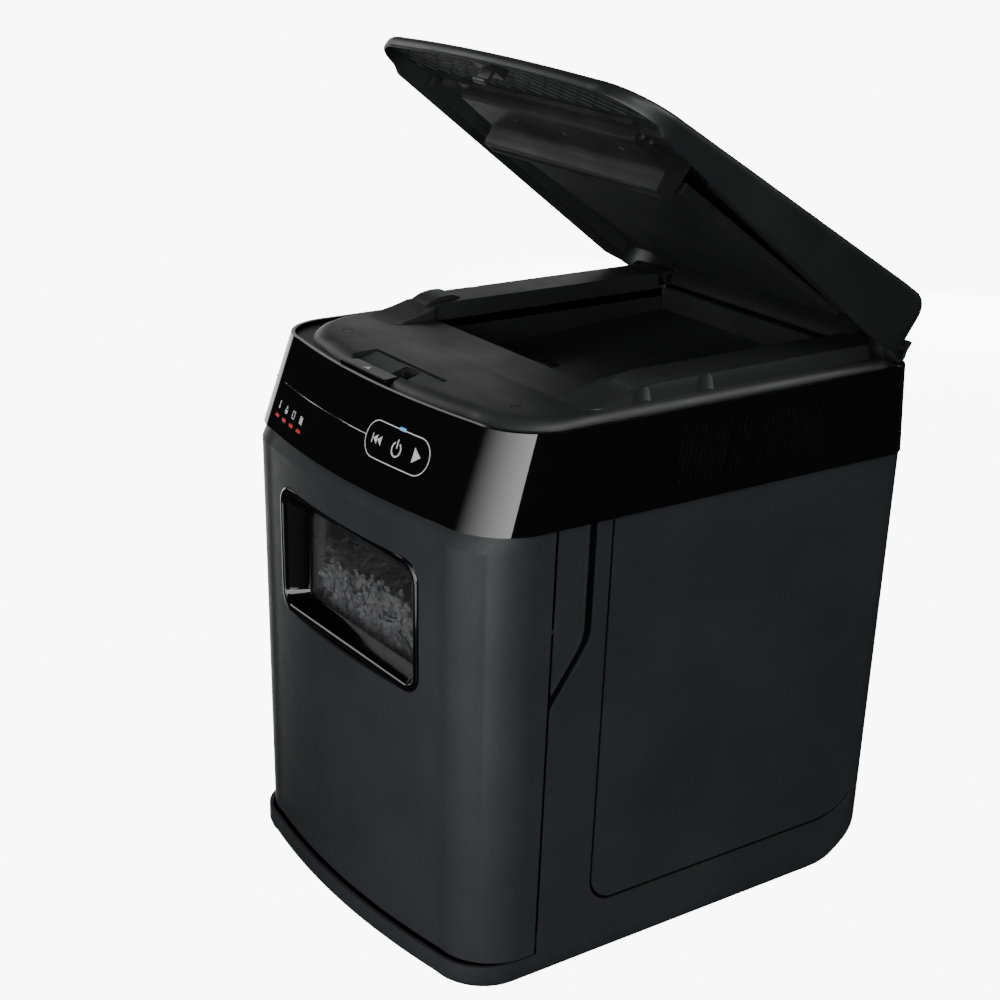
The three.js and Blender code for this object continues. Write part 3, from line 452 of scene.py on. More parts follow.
def satin_plastic():
    """The housing's satin plastic: light flecks in a dark, slowly drifting tone."""
    n = Nodes("satin_plastic")
    slow = n.noise(9.0, 2.0)
    fleck = n.noise(2600.0, 1.0, 0.5)
    tone = n.blend(slow, (0.0128, 0.0131, 0.0139), (0.0178, 0.0182, 0.0191))
    flecks = {"Factor": n.ramp(fleck, 0.0, 1.0, 0.62, 0.72), "A": tone, "B": (0.045, 0.046, 0.049, 1)}
    n.set("Base Color", n.add("Mix", flecks, data_type="RGBA").outputs["Result"])
    n.set("Roughness", n.ramp(n.noise(60.0, 4.0), 0.42, 0.50))
    coarse = n.bump(n.noise(700.0, 2.0), 0.10, 0.06 * MM)
    n.set("Normal", n.bump(n.noise(2200.0, 2.0, 0.6), 0.22, 0.05 * MM, coarse))
    n.set("IOR", 1.26)
    return n.material


def gloss_black():
    n = Nodes("gloss_black")
    n.set("Base Color", n.blend(n.noise(14.0, 2.0), (0.0012, 0.0012, 0.0013), (0.0018, 0.0018, 0.00195)))
    n.set("Roughness", n.ramp(n.noise(90.0, 5.0, 0.65), 0.03, 0.06))
    n.set("Normal", n.bump(n.noise(26.0, 1.0), 0.06, 0.12 * MM))
    n.set("IOR", 1.45)
    return n.material


def brushed(name, low, high, rough):
    """Metal with fine streaks along x."""
    n = Nodes(name)
    streak = n.noise(60.0, 4.0, 0.7, stretch=(1, 12, 12))
    n.set("Base Color", n.blend(streak, low, high))
    n.set("Roughness", n.ramp(streak, *rough))
    n.set("Normal", n.bump(streak, 0.15, 0.05 * MM))
    n.set("Metallic", 1.0)
    return n.material


def printed(name, low, high, glow=None, power=0.0):
    """Ink, a light window or a circuit board; glow holds two emission colours: a lamp's light in a light
    window, a painted glow on ink.
    """
    n = Nodes(name)
    colour = n.blend(n.noise(900.0, 2.0), low, high)
    n.set("Base Color", colour)
    n.set("Roughness", n.ramp(n.noise(300.0, 2.0), 0.35, 0.5))
    if glow:
        n.set("Emission Color", n.blend(n.noise(500.0, 1.0), *glow))
        n.set("Emission Strength", power)
    return n.material


def clear_pane():
    n = Nodes("clear_pane")
    n.set("Base Color", n.blend(n.noise(20.0), (0.012, 0.012, 0.013), (0.02, 0.02, 0.021)))
    n.set("Roughness", n.ramp(n.noise(120.0, 5.0), 0.03, 0.09))
    n.set("Alpha", 0.45)
    n.set("IOR", 1.6)
    return n.material


def paper():
    n = Nodes("shredded_paper")
    n.set("Base Color", n.blend(n.noise(260.0, 3.0), (0.40, 0.40, 0.41), (0.62, 0.62, 0.63), 0.4, 0.6))
    n.set("Roughness", n.ramp(n.noise(500.0, 2.0), 0.75, 0.95))
    n.set("Normal", n.bump(n.noise(1500.0), 0.2, 0.05 * MM))
    return n.material


SATIN = satin_plastic()
GLOSS = gloss_black()
MATTE = moulded(
    "matte_black", (0.0085, 0.0087, 0.0092), (0.0130, 0.0133, 0.0140), (0.42, 0.52),
    grain=1700.0, depth=0.08, patch=7.0)
LID_SKIN = moulded(
    "lid_skin", (0.0050, 0.0052, 0.0056), (0.0080, 0.0082, 0.0088), (0.40, 0.50),
    grain=1500.0, depth=0.08, strength=0.4, patch=6.0)
DARK = moulded(
    "dark_plastic", (0.0080, 0.0080, 0.0085), (0.0135, 0.0135, 0.0145), (0.38, 0.52),
    grain=1200.0, depth=0.06, strength=0.3)
# Near-black key plastic; it also makes the painted shade in the side grooves.
KEY_AND_GROOVE_SHADE = moulded(
    "key_plastic_and_groove_shade", (0.0016, 0.0016, 0.0018), (0.0026, 0.0026, 0.0028), (0.20, 0.28),
    grain=1500.0, depth=0.03, strength=0.2, ior=1.22)
SLATE = moulded(
    "slate_plastic", (0.032, 0.033, 0.034), (0.042, 0.043, 0.045), (0.42, 0.55),
    grain=1600.0, depth=0.06, strength=0.3)
RUBBER = moulded(
    "rubber", (0.009, 0.009, 0.009), (0.017, 0.017, 0.017), (0.80, 0.95),
    grain=900.0, depth=0.2, strength=0.5)
STEEL = brushed("steel", (0.42, 0.43, 0.44), (0.62, 0.63, 0.64), (0.28, 0.44))
DARK_STEEL = brushed("dark_steel", (0.030, 0.031, 0.033), (0.055, 0.056, 0.058), (0.34, 0.50))
NYLON = moulded("gear_plastic", (0.60, 0.57, 0.48), (0.72, 0.69, 0.60), (0.38, 0.50), grain=700.0)
# The print's faint emission is a painted glow; no lamp lies behind the ink.
PRINT_WITH_PAINTED_GLOW = printed(
    "panel_print", (0.30, 0.30, 0.31), (0.38, 0.38, 0.39), ((0.5, 0.5, 0.5), (0.6, 0.6, 0.6)), 0.08)
RED = printed(
    "red_light", (0.22, 0.006, 0.006), (0.30, 0.010, 0.010), ((1.0, 0.03, 0.02), (1.0, 0.05, 0.04)), 0.12)
BLUE = printed(
    "blue_light", (0.03, 0.16, 0.45), (0.05, 0.24, 0.55), ((0.06, 0.32, 0.85), (0.10, 0.42, 0.95)), 0.45)
BOARD = printed("circuit_board", (0.015, 0.09, 0.035), (0.03, 0.15, 0.06))
PANE = clear_pane()
PAPER = paper()


# ---- Housing ----
FOOT_ROUNDING = ((7, 0), (4, 1.2), (1.4, 4))  # inset, height above the underside
FOOT_STRAIGHT = 8
TRAY_TOP = 150
TRAY_FLOOR = 4


def body_inset(z):
    return 1.5 + 4 * (BAND_BOTTOM - z) / BAND_BOTTOM


def above_heel(offset):
    """Everything above the underside, which curves up into the back."""
    centre_y, centre_z = DEPTH / 2 - HEEL_RADIUS, BASE_Z + HEEL_RADIUS
    return prism_x([
        (-FAR, BASE_Z + offset),
        *arc(centre_y, centre_z, HEEL_RADIUS - offset, -90, 0, 32),
        (FAR, centre_z), (FAR, FAR + BAND_TOP), (-FAR, FAR + BAND_TOP),
    ], -FAR, FAR)


def core(values, extra, levels):
    """A solid made of housing plans; each level is a height and a further set-back."""
    sections = []
    for z, more in levels:
        inset, set_back = values(z)
        sections.append((housing_plan(inset + extra, set_back + more), z))
    return loft("z", sections)


def body_core(extra, z0, z1):
    return loft("z", [(housing_plan(body_inset(z) + extra), z) for z in (z0, z1)])


def base_tray():
    foot = [(housing_plan(body_inset(BASE_Z) + inset), BASE_Z + up) for inset, up in FOOT_ROUNDING]
    wall = [(housing_plan(body_inset(z)), z) for z in (BASE_Z + FOOT_STRAIGHT, TRAY_TOP)]
    outer = keep(loft("z", foot + wall), above_heel(0))
    hollow = keep(body_core(WALL, BASE_Z - 1, TRAY_TOP + 10), above_heel(TRAY_FLOOR))
    return cut(outer, above_heel(LIP_HEIGHT), hollow)


piece(base_tray(), "base_shell", "housing", SATIN, ["base_tray"], edge=0.9)


def wall_ring():
    ring = cut(body_core(0, BASE_Z, WALL_TOP), body_core(WALL, 0, BAND_TOP))
    return keep(ring, above_heel(LIP_HEIGHT + 0.5))


# The right side panel, with an outline groove and a slanting trim strip. The left one mirrors it.
PANEL_FRONT_Y, PANEL_BACK_Y, PANEL_FOOT_Z = -97, 230, 58
PANEL_FRONT_CORNER, PANEL_BACK_CORNER = 26, 60
PANEL_GROOVE, PANEL_GROOVE_DEPTH = 3.2, 2.8
PANEL_EDGE = 1.3
STRIP_FRONT, STRIP_BACK = -120, -111
STRIP_SLOPE = 1.45
STRIP_SEAM_HIGH, STRIP_SEAM_LOW = 271, 256
STRIP_BEND = 12
STRIP_DEPTH = 2.9
BEAD_WIDTH, BEAD_HEIGHT, BEAD_ROOT = 2.2, 0.9, 0.6
# The next thickness is that of the black painted-shade sheets in the grooves.
SHADE_LINING_THICKNESS = 1.15


def under_skin(depth):
    """Everything deeper than the given depth under the housing's outer surface."""
    return body_core(depth, -10, BAND_TOP)


def side_prism(outline, hole=None):
    """An outline pushed through the right wall, with or without a hole."""
    tool = prism_x(outline, WIDTH / 4, WIDTH)
    if hole:
        cut(tool, prism_x(hole, WIDTH / 4 - 1, WIDTH + 1))
    return tool


def groove(outline, depth, hole=None):
    return cut(side_prism(outline, hole), under_skin(depth))


def panel_outline(inset):
    y0, y1, z0, z1 = PANEL_FRONT_Y + inset, PANEL_BACK_Y - inset, PANEL_FOOT_Z + inset, BAND_BOTTOM + 20
    front, back = PANEL_FRONT_CORNER - inset, PANEL_BACK_CORNER - inset
    return [
        *arc(y1 - back, z0 + back, back, -90, 0, 24), (y1, z1), (y0, z1),
        *arc(y0 + front, z0 + front, front, 180, 270, 16),
    ]


def strip_outline(grow):
    """The trim strip: straight down beside the drawer, then slanting to the drawer's seam."""
    top, end, front, back = BAND_BOTTOM + 6, SEAM_Y - 10 + grow, STRIP_FRONT - grow, STRIP_BACK + grow
    offset = grow * hypot(1, STRIP_SLOPE)

    def slant(y, seam_z):
        return (y, seam_z + STRIP_SLOPE * (y - PANEL_START_Y))

    high, low = STRIP_SEAM_HIGH + offset, STRIP_SEAM_LOW - offset
    return softened([
        (back, top), (front, top), slant(front, high), slant(end, high), slant(end, low), slant(back, low),
    ], [0, 0, STRIP_BEND, 0, 0, STRIP_BEND])


def strip_bead():
    """A low raised edge all round the trim strip."""
    bead = side_prism(strip_outline(BEAD_WIDTH), strip_outline(0))
    keep(bead, keep(body_core(-BEAD_HEIGHT, BASE_Z, WALL_TOP), box(0, FAR, PANEL_START_Y, 0, 0, HIGH)))
    return cut(bead, under_skin(BEAD_ROOT))


def side_panel():
    """Its front edge is thinned from behind, so the seam beside the drawer looks dark."""
    panel = keep(wall_ring(), box(0, FAR, PANEL_START_Y, BACK_SEAM_Y, 0, HIGH))
    cut(panel, keep(box(0, FAR, -FAR, SEAM_Y + 5, -10, HIGH), under_skin(PANEL_EDGE)))
    cut(panel, groove(panel_outline(0), PANEL_GROOVE_DEPTH, panel_outline(PANEL_GROOVE)))
    return add(cut(panel, groove(strip_outline(0), STRIP_DEPTH)), strip_bead())


def shade_lining(depth, outline, hole=None):
    """Black sheet on the floor of a groove in the right side panel: painted shade for the groove's dark
    depth.
    """
    bounds = box(0, FAR, PANEL_START_Y + 0.2, BACK_SEAM_Y - 0.2, 0, HIGH)
    floor = depth - 0.05
    layer = keep(body_core(floor - SHADE_LINING_THICKNESS, BASE_Z, WALL_TOP - 0.1), bounds)
    return cut(keep(side_prism(outline, hole), layer), under_skin(floor))


# Painted shade: black sheets in the trim strip's channel and in the panel's outline groove.
def painted_groove_shade():
    strip = shade_lining(STRIP_DEPTH, strip_outline(-0.3))
    return add(strip, shade_lining(PANEL_GROOVE_DEPTH, panel_outline(0.2), panel_outline(PANEL_GROOVE - 0.2)))


panel = side_panel()
twin = mirrored(panel)
piece(panel, "side_skin_right", "housing", SATIN, ["side_panel_right"], edge=0.7)
piece(twin, "side_skin_left", "housing", SATIN, ["side_panel_left"], edge=0.7)
# The black groove sheets are painted shade.
groove_shade_sheet = painted_groove_shade()
twin = mirrored(groove_shade_sheet)
piece(groove_shade_sheet, "side_infill_right", "housing", KEY_AND_GROOVE_SHADE)
piece(twin, "side_infill_left", "housing", KEY_AND_GROOVE_SHADE)

SOCKET = (-132, 140, 15, 12, 2)  # x, z, half width, half height, corner radius
SWITCH = (-92, 140, 12, 15, 1.5)
VENT_ROWS, VENT_PITCH, VENT_FOOT, VENT_HALF, VENT_HEIGHT = 7, 9, 335, 70, 4


def rear_skin():
    skin = keep(wall_ring(), box(-FAR, FAR, BACK_SEAM_Y + 0.5, FAR, 0, HIGH))
    for x, z, half, tall, radius in (SOCKET, SWITCH):
        cut(skin, prism_y(rounded(x - half, x + half, z - tall, z + tall, radius), 100, FAR))
    for i in range(VENT_ROWS):
        z = VENT_FOOT + VENT_PITCH * i
        cut(skin, prism_y(rounded(-VENT_HALF, VENT_HALF, z, z + VENT_HEIGHT, 1.9, 6), 100, FAR))
    return skin


piece(rear_skin(), "rear_skin", "housing", SATIN, ["rear_panel"], edge=0.6)


# ---- Control band ----
def band_values(z):
    t = (z - BAND_BOTTOM) / (BAND_TOP - BAND_BOTTOM)
    return BAND_LEAN * t, PANEL_FOOT_SET_BACK + (PANEL_SET_BACK - PANEL_FOOT_SET_BACK) * t


def band_front(x, z):
    return front_y(x, *band_values(z))


def band_core(extra, z0, z1):
    return core(band_values, extra, [(z0, 0), (z1, 0)])


STATUS_X = (-132, -116, -100, -84)
STATUS_Z = 425
POWER_X, POWER_Z = 62, 466.8
LIGHT_HALF, LIGHT_TALL, LIGHT_GAP = 4, 1.3, 0.25
SLIT_STARTS, SLITS, SLIT_PITCH = (-40, 50), 14, 5.4
SLIT_FOOT, SLIT_TOP, SLIT_LEAN, SLIT_WIDTH = 428, 474, 12, 1.7
SLIT_REACH = 15


def light_slot(x, z, gap, y1):
    half, tall = LIGHT_HALF + gap, LIGHT_TALL + gap
    return prism_y(rounded(x - half, x + half, z - tall, z + tall, 1, 4), -DEPTH, y1)


def control_band():
    band = cut(band_core(0, BAND_BOTTOM, BAND_TOP), band_core(WALL, BAND_BOTTOM - 2, BAND_TOP + 2))
    for x in STATUS_X:
        cut(band, light_slot(x, STATUS_Z, LIGHT_GAP, -195))
    cut(band, light_slot(POWER_X, POWER_Z, LIGHT_GAP, -185))
    for start in SLIT_STARTS:
        for i in range(SLITS):
            y = start + SLIT_PITCH * i
            slit = [
                (y, SLIT_FOOT), (y + SLIT_WIDTH, SLIT_FOOT),
                (y + SLIT_LEAN + SLIT_WIDTH, SLIT_TOP), (y + SLIT_LEAN, SLIT_TOP)]
            for x0, x1 in ((WIDTH / 2 - SLIT_REACH, WIDTH), (-WIDTH, -WIDTH / 2 + SLIT_REACH)):
                cut(band, prism_x(slit, x0, x1))
    return band


piece(control_band(), "gloss_band", "housing", GLOSS, ["control_band"], edge=1.1)


def light_row(z, y1, first, *others):
    """Light windows at one height, a hair proud of the band."""
    row = light_slot(first, z, 0, y1)
    for x in others:
        add(row, light_slot(x, z, 0, y1))
    return keep(row, band_core(-0.1, BAND_BOTTOM, BAND_TOP))


status, power = light_row(STATUS_Z, -205, *STATUS_X), light_row(POWER_Z, -192, POWER_X)
piece(status, "status_lights", "housing", RED, ["status_light_pipe"], edge=0.2)
piece(power, "power_lamp", "housing", BLUE, ["power_light"], edge=0.2)


# ---- Panel print: thin raised ink on the sloped front ----
INK_DEPTHS = (0.4, -0.12)  # sunk into the surface, and proud of it


class Ink:
    """Collects flat shapes drawn in (x, z) and lays them on a surface y(x, z)."""

    def __init__(self, surface):
        self.surface = surface
        self.points = []
        self.faces = []

    def _layer(self, outline):
        first = len(self.points)
        for depth in INK_DEPTHS:
            self.points += [(x, self.surface(x, z) + depth, z) for x, z in outline]
        return first

    def plate(self, outline):
        n = len(outline)
        first = self._layer(outline)
        self.faces.append(tuple(first + n + i for i in range(n)))
        self.faces.append(tuple(first + i for i in reversed(range(n))))
        self.faces += [
            (first + i, first + (i + 1) % n, first + n + (i + 1) % n, first + n + i) for i in range(n)]

    def ring(self, outer, inner):
        n = len(outer)
        a, b = self._layer(outer), self._layer(inner)
        for i in range(n):
            j = (i + 1) % n
            self.faces += [
                (a + n + i, a + n + j, b + n + j, b + n + i), (b + i, b + j, a + j, a + i),
                (a + i, a + j, a + n + j, a + n + i), (b + j, b + i, b + n + i, b + n + j)]

    def line(self, x0, z0, x1, z1, width, steps=1):
        along = Vector((x1 - x0, z1 - z0))
        side = Vector((-along.y, along.x)).normalized() * width / 2
        low = [
            (x0 + along.x * i / steps - side.x, z0 + along.y * i / steps - side.y) for i in range(steps + 1)]
        high = [(x + 2 * side.x, z + 2 * side.y) for x, z in low]
        self.plate(low + high[::-1])

    def build(self):
        return make(self.points, self.faces)


def capsule(x, z, half, radius):
    steps = 16
    along = [2 * half * i / steps - half for i in range(1, steps)]
    return [
        *arc(x + half, z, radius, -90, 90, steps), *[(x - u, z + radius) for u in along],
        *arc(x - half, z, radius, 90, 270, steps), *[(x + u, z - radius) for u in along],
    ]


CAPSULE = (60, 452, 26.5, 14.8)


def panel_print():
    """A line that ends in a capsule round three keys: back, power and play."""
    ink = Ink(band_front)
    x, z, half, radius = CAPSULE
    ink.ring(capsule(x, z, half, radius), capsule(x, z, half, radius - 0.8))
    ink.line(-161, 452, x - half - radius, 452, 0.6, 40)
    ink.plate([(82, 446), (91, 452), (82, 458)])
    for tip in (29.5, 35):
        ink.plate([(tip + 5.2, 448.2), (tip + 5.2, 455.8), (tip, 452)])
    ink.line(28.4, 448.2, 28.4, 455.8, 1)
    outer, inner = arc(61, 450.8, 6.2, -240, 60, 28), arc(61, 450.8, 4.9, -240, 60, 28)
    ink.plate(outer + inner[::-1])
    ink.line(61, 451.6, 61, 458.8, 1.3)
    return ink.build()


def status_print():
    """Four small icons over the status lights: a thermometer, a bin, a sheet and a door."""
    ink = Ink(band_front)
    z = STATUS_Z + 9
    x = STATUS_X[0]
    ink.plate([*arc(x, z - 1.6, 1.4, 120, 420, 14), (x + 0.7, z + 3.6), (x - 0.7, z + 3.6)])
    x = STATUS_X[1]
    ink.plate([(x - 2.2, z - 3), (x + 2.2, z - 3), (x + 2.8, z), (x - 2.8, z)])
    ink.plate([(x - 1.6, z + 1), (x + 1.6, z + 1), (x + 0.4, z + 3.6), (x - 0.4, z + 3.6)])
    x = STATUS_X[2]
    ink.ring(rectangle(x - 2.7, x + 2.7, z - 3, z + 3.4), rectangle(x - 2, x + 2, z - 2.3, z + 2.7))
    x = STATUS_X[3]
    ink.plate([
        (x - 2.4, z - 3.2), (x + 0.3, z - 3.2), (x + 0.3, z + 3.6), (x - 1.2, z + 3.6), (x - 2.4, z + 2.4)])
    ink.plate([(x + 0.9, z - 3.2), (x + 2.8, z - 3.2), (x + 2.8, z + 2.8), (x + 0.9, z + 2.8)])
    return ink.build()


piece(panel_print(), "panel_print", "housing", PRINT_WITH_PAINTED_GLOW, tidy=False)
piece(status_print(), "status_print", "housing", PRINT_WITH_PAINTED_GLOW, tidy=False)

# ---- Drawer ----
DRAWER_Z0, DRAWER_SHOULDER = 30.3, 398
CHAMFER, CHAMFER_INSIDE = 7.2, 7.8
BEZEL_HALF, BEZEL_LOW, BEZEL_HIGH, BEZEL_CORNER, BEZEL_GAP = 110, 255, 372, 18, 0.3
BEZEL_RIM = (  # inset from the outer edge, offset from the drawer's face
    (0, 6), (0, 0.2), (0.25, -0.6), (0.9, -1.3), (2.0, -1.7), (3.6, -1.75), (5.0, -1.3), (6.0, -0.3),
    (6.5, 1.2),
)
BEZEL_MOUTH = (-92, 92, 266, 347, 8)
BEZEL_BACK = -205.9


def drawer_values(z):
    return body_inset(z), 7 * (1 - z / BAND_BOTTOM)


def drawer_front_y(x, z):
    return front_y(x, *drawer_values(z))


def drawer_skin():
    skin = core(drawer_values, 0, [
        (DRAWER_Z0, 0), (120, 0), (280, 0), (DRAWER_SHOULDER, 0), (WALL_TOP, CHAMFER)])
    cut(skin, core(drawer_values, WALL, [
        (DRAWER_Z0 - 1, 0), (DRAWER_SHOULDER - 2, 0), (BAND_BOTTOM + 1, CHAMFER_INSIDE)]))
    keep(skin, box(-FAR, FAR, -FAR, SEAM_Y, 0, HIGH))
    half, low, high = BEZEL_HALF + BEZEL_GAP, BEZEL_LOW - BEZEL_GAP, BEZEL_HIGH + BEZEL_GAP
    return cut(skin, prism_y(rounded(-half, half, low, high, BEZEL_CORNER + BEZEL_GAP, 16), -FAR, -180))


piece(drawer_skin(), "drawer_skin", "drawer", SATIN, ["drawer_front"], edge=1.4, angle=20)


def bezel_outline(inset):
    half, radius = BEZEL_HALF - inset, BEZEL_CORNER - inset * 0.9
    return rounded(-half, half, BEZEL_LOW + inset, BEZEL_HIGH - inset, radius, 12)


def bezel():
    """The window's surround: a rolled rim, then walls that run in to the pane."""
    points = []
    for inset, offset in BEZEL_RIM:
        points += [(x, drawer_front_y(x, z) + offset, z) for x, z in bezel_outline(inset)]
    outer, inner = bezel_outline(inset), rounded(*BEZEL_MOUTH, 12)
    for t in (0.12, 0.35, 0.7, 0.94, 1.0):
        pull = min(1.0, t * 1.02)
        for (xo, zo), (xi, zi) in zip(outer, inner):
            x, z = xo + (xi - xo) * pull, zo + (zi - zo) * pull
            points.append((x, (drawer_front_y(x, z) + offset) * (1 - t) + (BEZEL_BACK - 1) * t, z))
    points += [(x, BEZEL_BACK, z) for x, z in inner + bezel_outline(0)]
    faces = band_faces(len(points) // len(inner), len(inner), closed=True)
    return make(points, [tuple(reversed(face)) for face in faces])


piece(bezel(), "bezel_ring", "drawer", GLOSS, ["window_bezel"], sharp=50, tidy=False)

HEAP_FRONT_Y, HEAP_TOP, HEAP_FALL = -190, 300, 0.13
PANE_SHREDS, TOP_SHREDS = 1150, 1500
CORE_COLUMNS, CORE_ROWS, CORE_FOOT_Z = 24, 26, 60
# The ranges of a shred's heading, pitch, roll, length, width and curl.
PANE_SHRED = ((-0.5, 0.5), (-1.6, 1.6), (0.9, 2.2), (9, 19), (3.6, 5.0), (-2.5, 2.5))
TOP_SHRED = ((0, 6.3), (-0.5, 0.5), (-0.6, 0.6), (16, 32), (3.2, 4.4), (-4, 4))


def shred_heap():
    """Cross-cut particles lying in the bin: short curled strips over a lumpy core."""
    dice = random.Random(7)
    points, faces = [], []

    def top(x, y):
        ridge = HEAP_TOP - HEAP_FALL * (y - HEAP_FRONT_Y)
        return ridge + 4 * sin(x * 0.045 + 1.0) + 3 * sin(y * 0.05 + x * 0.02) - 0.0007 * x * x

    def strip(centre, ranges):
        heading, pitch, roll, length, width, curl = [dice.uniform(*span) for span in ranges]
        turn = Matrix.Rotation(heading, 3, "Z")
        turn = turn @ Matrix.Rotation(pitch, 3, "Y") @ Matrix.Rotation(roll, 3, "X")
        first = len(points)
        steps = 4
        for i in range(steps + 1):
            s = (i / steps - 0.5) * length
            bend = curl * (2 * s / length) ** 2
            for v in (-width / 2, width / 2):
                for w in (-0.12, 0.12):
                    points.append(tuple(centre + turn @ Vector((s, v, bend + w))))
        faces.extend(run_faces(first, steps))

    for _ in range(PANE_SHREDS):
        x, z = dice.uniform(-92, 92), dice.uniform(252, 312)
        if z > top(x, HEAP_FRONT_Y):
            continue
        strip(Vector((x, dice.uniform(-193, -186), z)), PANE_SHRED)
    for _ in range(TOP_SHREDS):
        x, y = dice.uniform(-148, 148), dice.uniform(-184, 168)
        strip(Vector((x, y, top(x, y) + dice.uniform(-5, 4))), TOP_SHRED)
    first, stride = len(points), CORE_COLUMNS + 1
    for j in range(CORE_ROWS + 1):
        for i in range(stride):
            x, y = -155 + 310 * i / CORE_COLUMNS, -186 + 362 * j / CORE_ROWS
            points.append(Vector((x, y, top(x, y) - 6 + dice.uniform(-1.5, 1.5))))
    for j in range(CORE_ROWS):
        for i in range(CORE_COLUMNS):
            a = first + j * stride + i
            faces.append((a, a + 1, a + stride + 1, a + stride))
    rim = [first + i for i in range(stride)]
    rim += [first + j * stride + CORE_COLUMNS for j in range(1, CORE_ROWS + 1)]
    rim += [first + CORE_ROWS * stride + i for i in range(CORE_COLUMNS - 1, -1, -1)]
    rim += [first + j * stride for j in range(CORE_ROWS - 1, 0, -1)]
    foot, n = len(points), len(rim)
    points.extend(Vector((points[i][0] * 0.97, points[i][1] * 0.97, CORE_FOOT_Z)) for i in rim)
    faces.extend((rim[i], foot + i, foot + (i + 1) % n, rim[(i + 1) % n]) for i in range(n))
    faces.append(tuple(foot + i for i in reversed(range(n))))
    return make(points, faces)


piece(shred_heap(), "shredded_paper", "drawer", PAPER, sharp=40, tidy=False)

# ---- Deck ----
RAIL = (  # x0, x1, y0, y1, corner radius, height over the plateau
    (120.6, 166, -112, 208, 14, -8), (121, 165.6, -108, 207.5, 14, 0),
    (121.6, 164.6, -96, 206, 13, 9), (123, 163, -90, 204, 12, 14),
)
RAMP = ((-34, 13), (-48, 12), (-64, 9), (-80, 4.5), (-96, 1.2), (-112, -0.5))  # y, height over the plateau
BUMP = ((-72, 4), (-18, 4), (-28, 16.6), (-52, 16.6))  # y, height over the plateau
SCALLOP_X, SCALLOP_YS, SCALLOP_RADIUS = 175, (-56, 10), 13
DECK_CORNER = 78
DECK_EDGE = (  # inset, set-back behind the band's top edge, height
    (13.5, 1.0, DECK_LEDGE - 0.6), (14.5, 1.6, DECK_LEDGE + 2.2),
    (17.0, 3.2, PLATEAU - 2.6), (20.0, 5.4, PLATEAU - 0.7), (23.0, 8.0, PLATEAU),
)
TRAY_OPENING = (-125, 125, -62, 212.5, 5)
KEY = (-58, 14, -199, -184)
KEY_GAP, KEY_FLOOR, KEY_SIDE_FLOOR = 0.6, 478, 484.6
RECESS = (-64, 44, -183, -158)
CATCH_HOLE = (-13, 9, -182, -164, 2)
SCREW_X, SCREW_Y, SCREW_SINK = 126, -150, 4.6


def rail():
    """The right wall of the paper tray, with a ramp at its front, a bump and two scallops."""
    outer = loft("z", [(rounded(*plan, 10), PLATEAU + up) for *plan, up in RAIL])
    ramp = [(y, PLATEAU + up) for y, up in RAMP]
    keep(outer, prism_x([(-FAR, 470), (FAR, 470), (FAR, PLATEAU + 13), *ramp, (-FAR, PLATEAU - 1)], 0, FAR))
    add(outer, prism_x(softened([(y, PLATEAU + up) for y, up in BUMP], [0, 0, 9, 14], 8), 134, 160))
    for y in SCALLOP_YS:
        cut(outer, cylinder_z(SCALLOP_RADIUS, DECK_LEDGE + 0.6, PLATEAU + 60, SCALLOP_X, y, 56))
    return outer


def cut_key_seat(deck):
    x0, x1, y0, y1 = KEY
    x0, x1, y1 = x0 - KEY_GAP, x1 + KEY_GAP, y1 + 0.4
    cut(deck, box(x0, x1, y0 - KEY_GAP, y1, KEY_FLOOR, KEY_SIDE_FLOOR + 0.1))
    cut(deck, box(x0, x1, y0 - 8, y1, KEY_SIDE_FLOOR, 520))


def cut_recess(deck):
    x0, x1, y0, y1 = RECESS
    cut(deck, prism_x([(y0 - 1.2, 484.6), (y0 + 1, 485), (y1, 491.6), (y1, 520), (y0 - 1.2, 520)], x0, x1))
    cut(deck, prism_z(rounded(*CATCH_HOLE), 470, 520))


def deck_skin():
    ledge = prism_z(housing_plan(BAND_LEAN + WALL + 0.7, PANEL_SET_BACK), DECK_LEDGE - 3, DECK_LEDGE)
    deck = add(ledge, loft("z", [
        (housing_plan(inset, PANEL_SET_BACK + back, DECK_CORNER), z) for inset, back, z in DECK_EDGE]))
    cut(deck, box(-FAR, FAR, 211, FAR, DECK_LEDGE + 0.2, FAR + BAND_TOP))
    right = rail()
    left = mirrored(right)
    add(deck, right, left)
    cut(deck, prism_z(rounded(*TRAY_OPENING), 450, 600))
    cut_key_seat(deck)
    cut_recess(deck)
    for x in (-SCREW_X, SCREW_X):
        cut(deck, cylinder_z(SCREW_SINK, PLATEAU - 1.4, 520, x, SCREW_Y))
    return deck


piece(deck_skin(), "deck_skin", "housing", MATTE, ["top_deck"], edge=0.9, angle=28)


def latch_key():
    x0, x1, y0, y1 = KEY
    side = softened([(x0, y0), (x1, y0), (x1 - 3, y1), (x0 + 7, y1)], 2)
    y0, y1 = y0 + 0.6, y1 - 0.5
    top = softened([(x0 + 0.6, y0), (x1 - 0.6, y0), (x1 - 3.4, y1), (x0 + 7.4, y1)], 2)
    return loft("z", [(side, 485.2), (side, 491.4), (top, 492.6)])


def key_mark():
    """A small triangle printed on the key's top."""
    return prism_z([(-28, -194.5), (-19, -194.5), (-23.5, -188.5)], 492.2, 492.72)


def recess_plate():
    """The recess's lighter sloping floor, open round the lid's hook."""
    floor = prism_x([(-182.6, 485.1), (-160, 491.8), (-160, 492.5), (-182.6, 486.2)], -62.5, 42.5)
    return cut(floor, prism_z(rounded(-13.6, 9.6, -190, -160.6, 1.5), 470, 520))


piece(latch_key(), "latch_button", "latch_key", KEY_AND_GROOVE_SHADE, ["latch_key"], edge=0.8)
piece(key_mark(), "latch_mark", "latch_key", PRINT_WITH_PAINTED_GLOW, tidy=False)
piece(recess_plate(), "recess_plate", "housing", SLATE, edge=0.2)

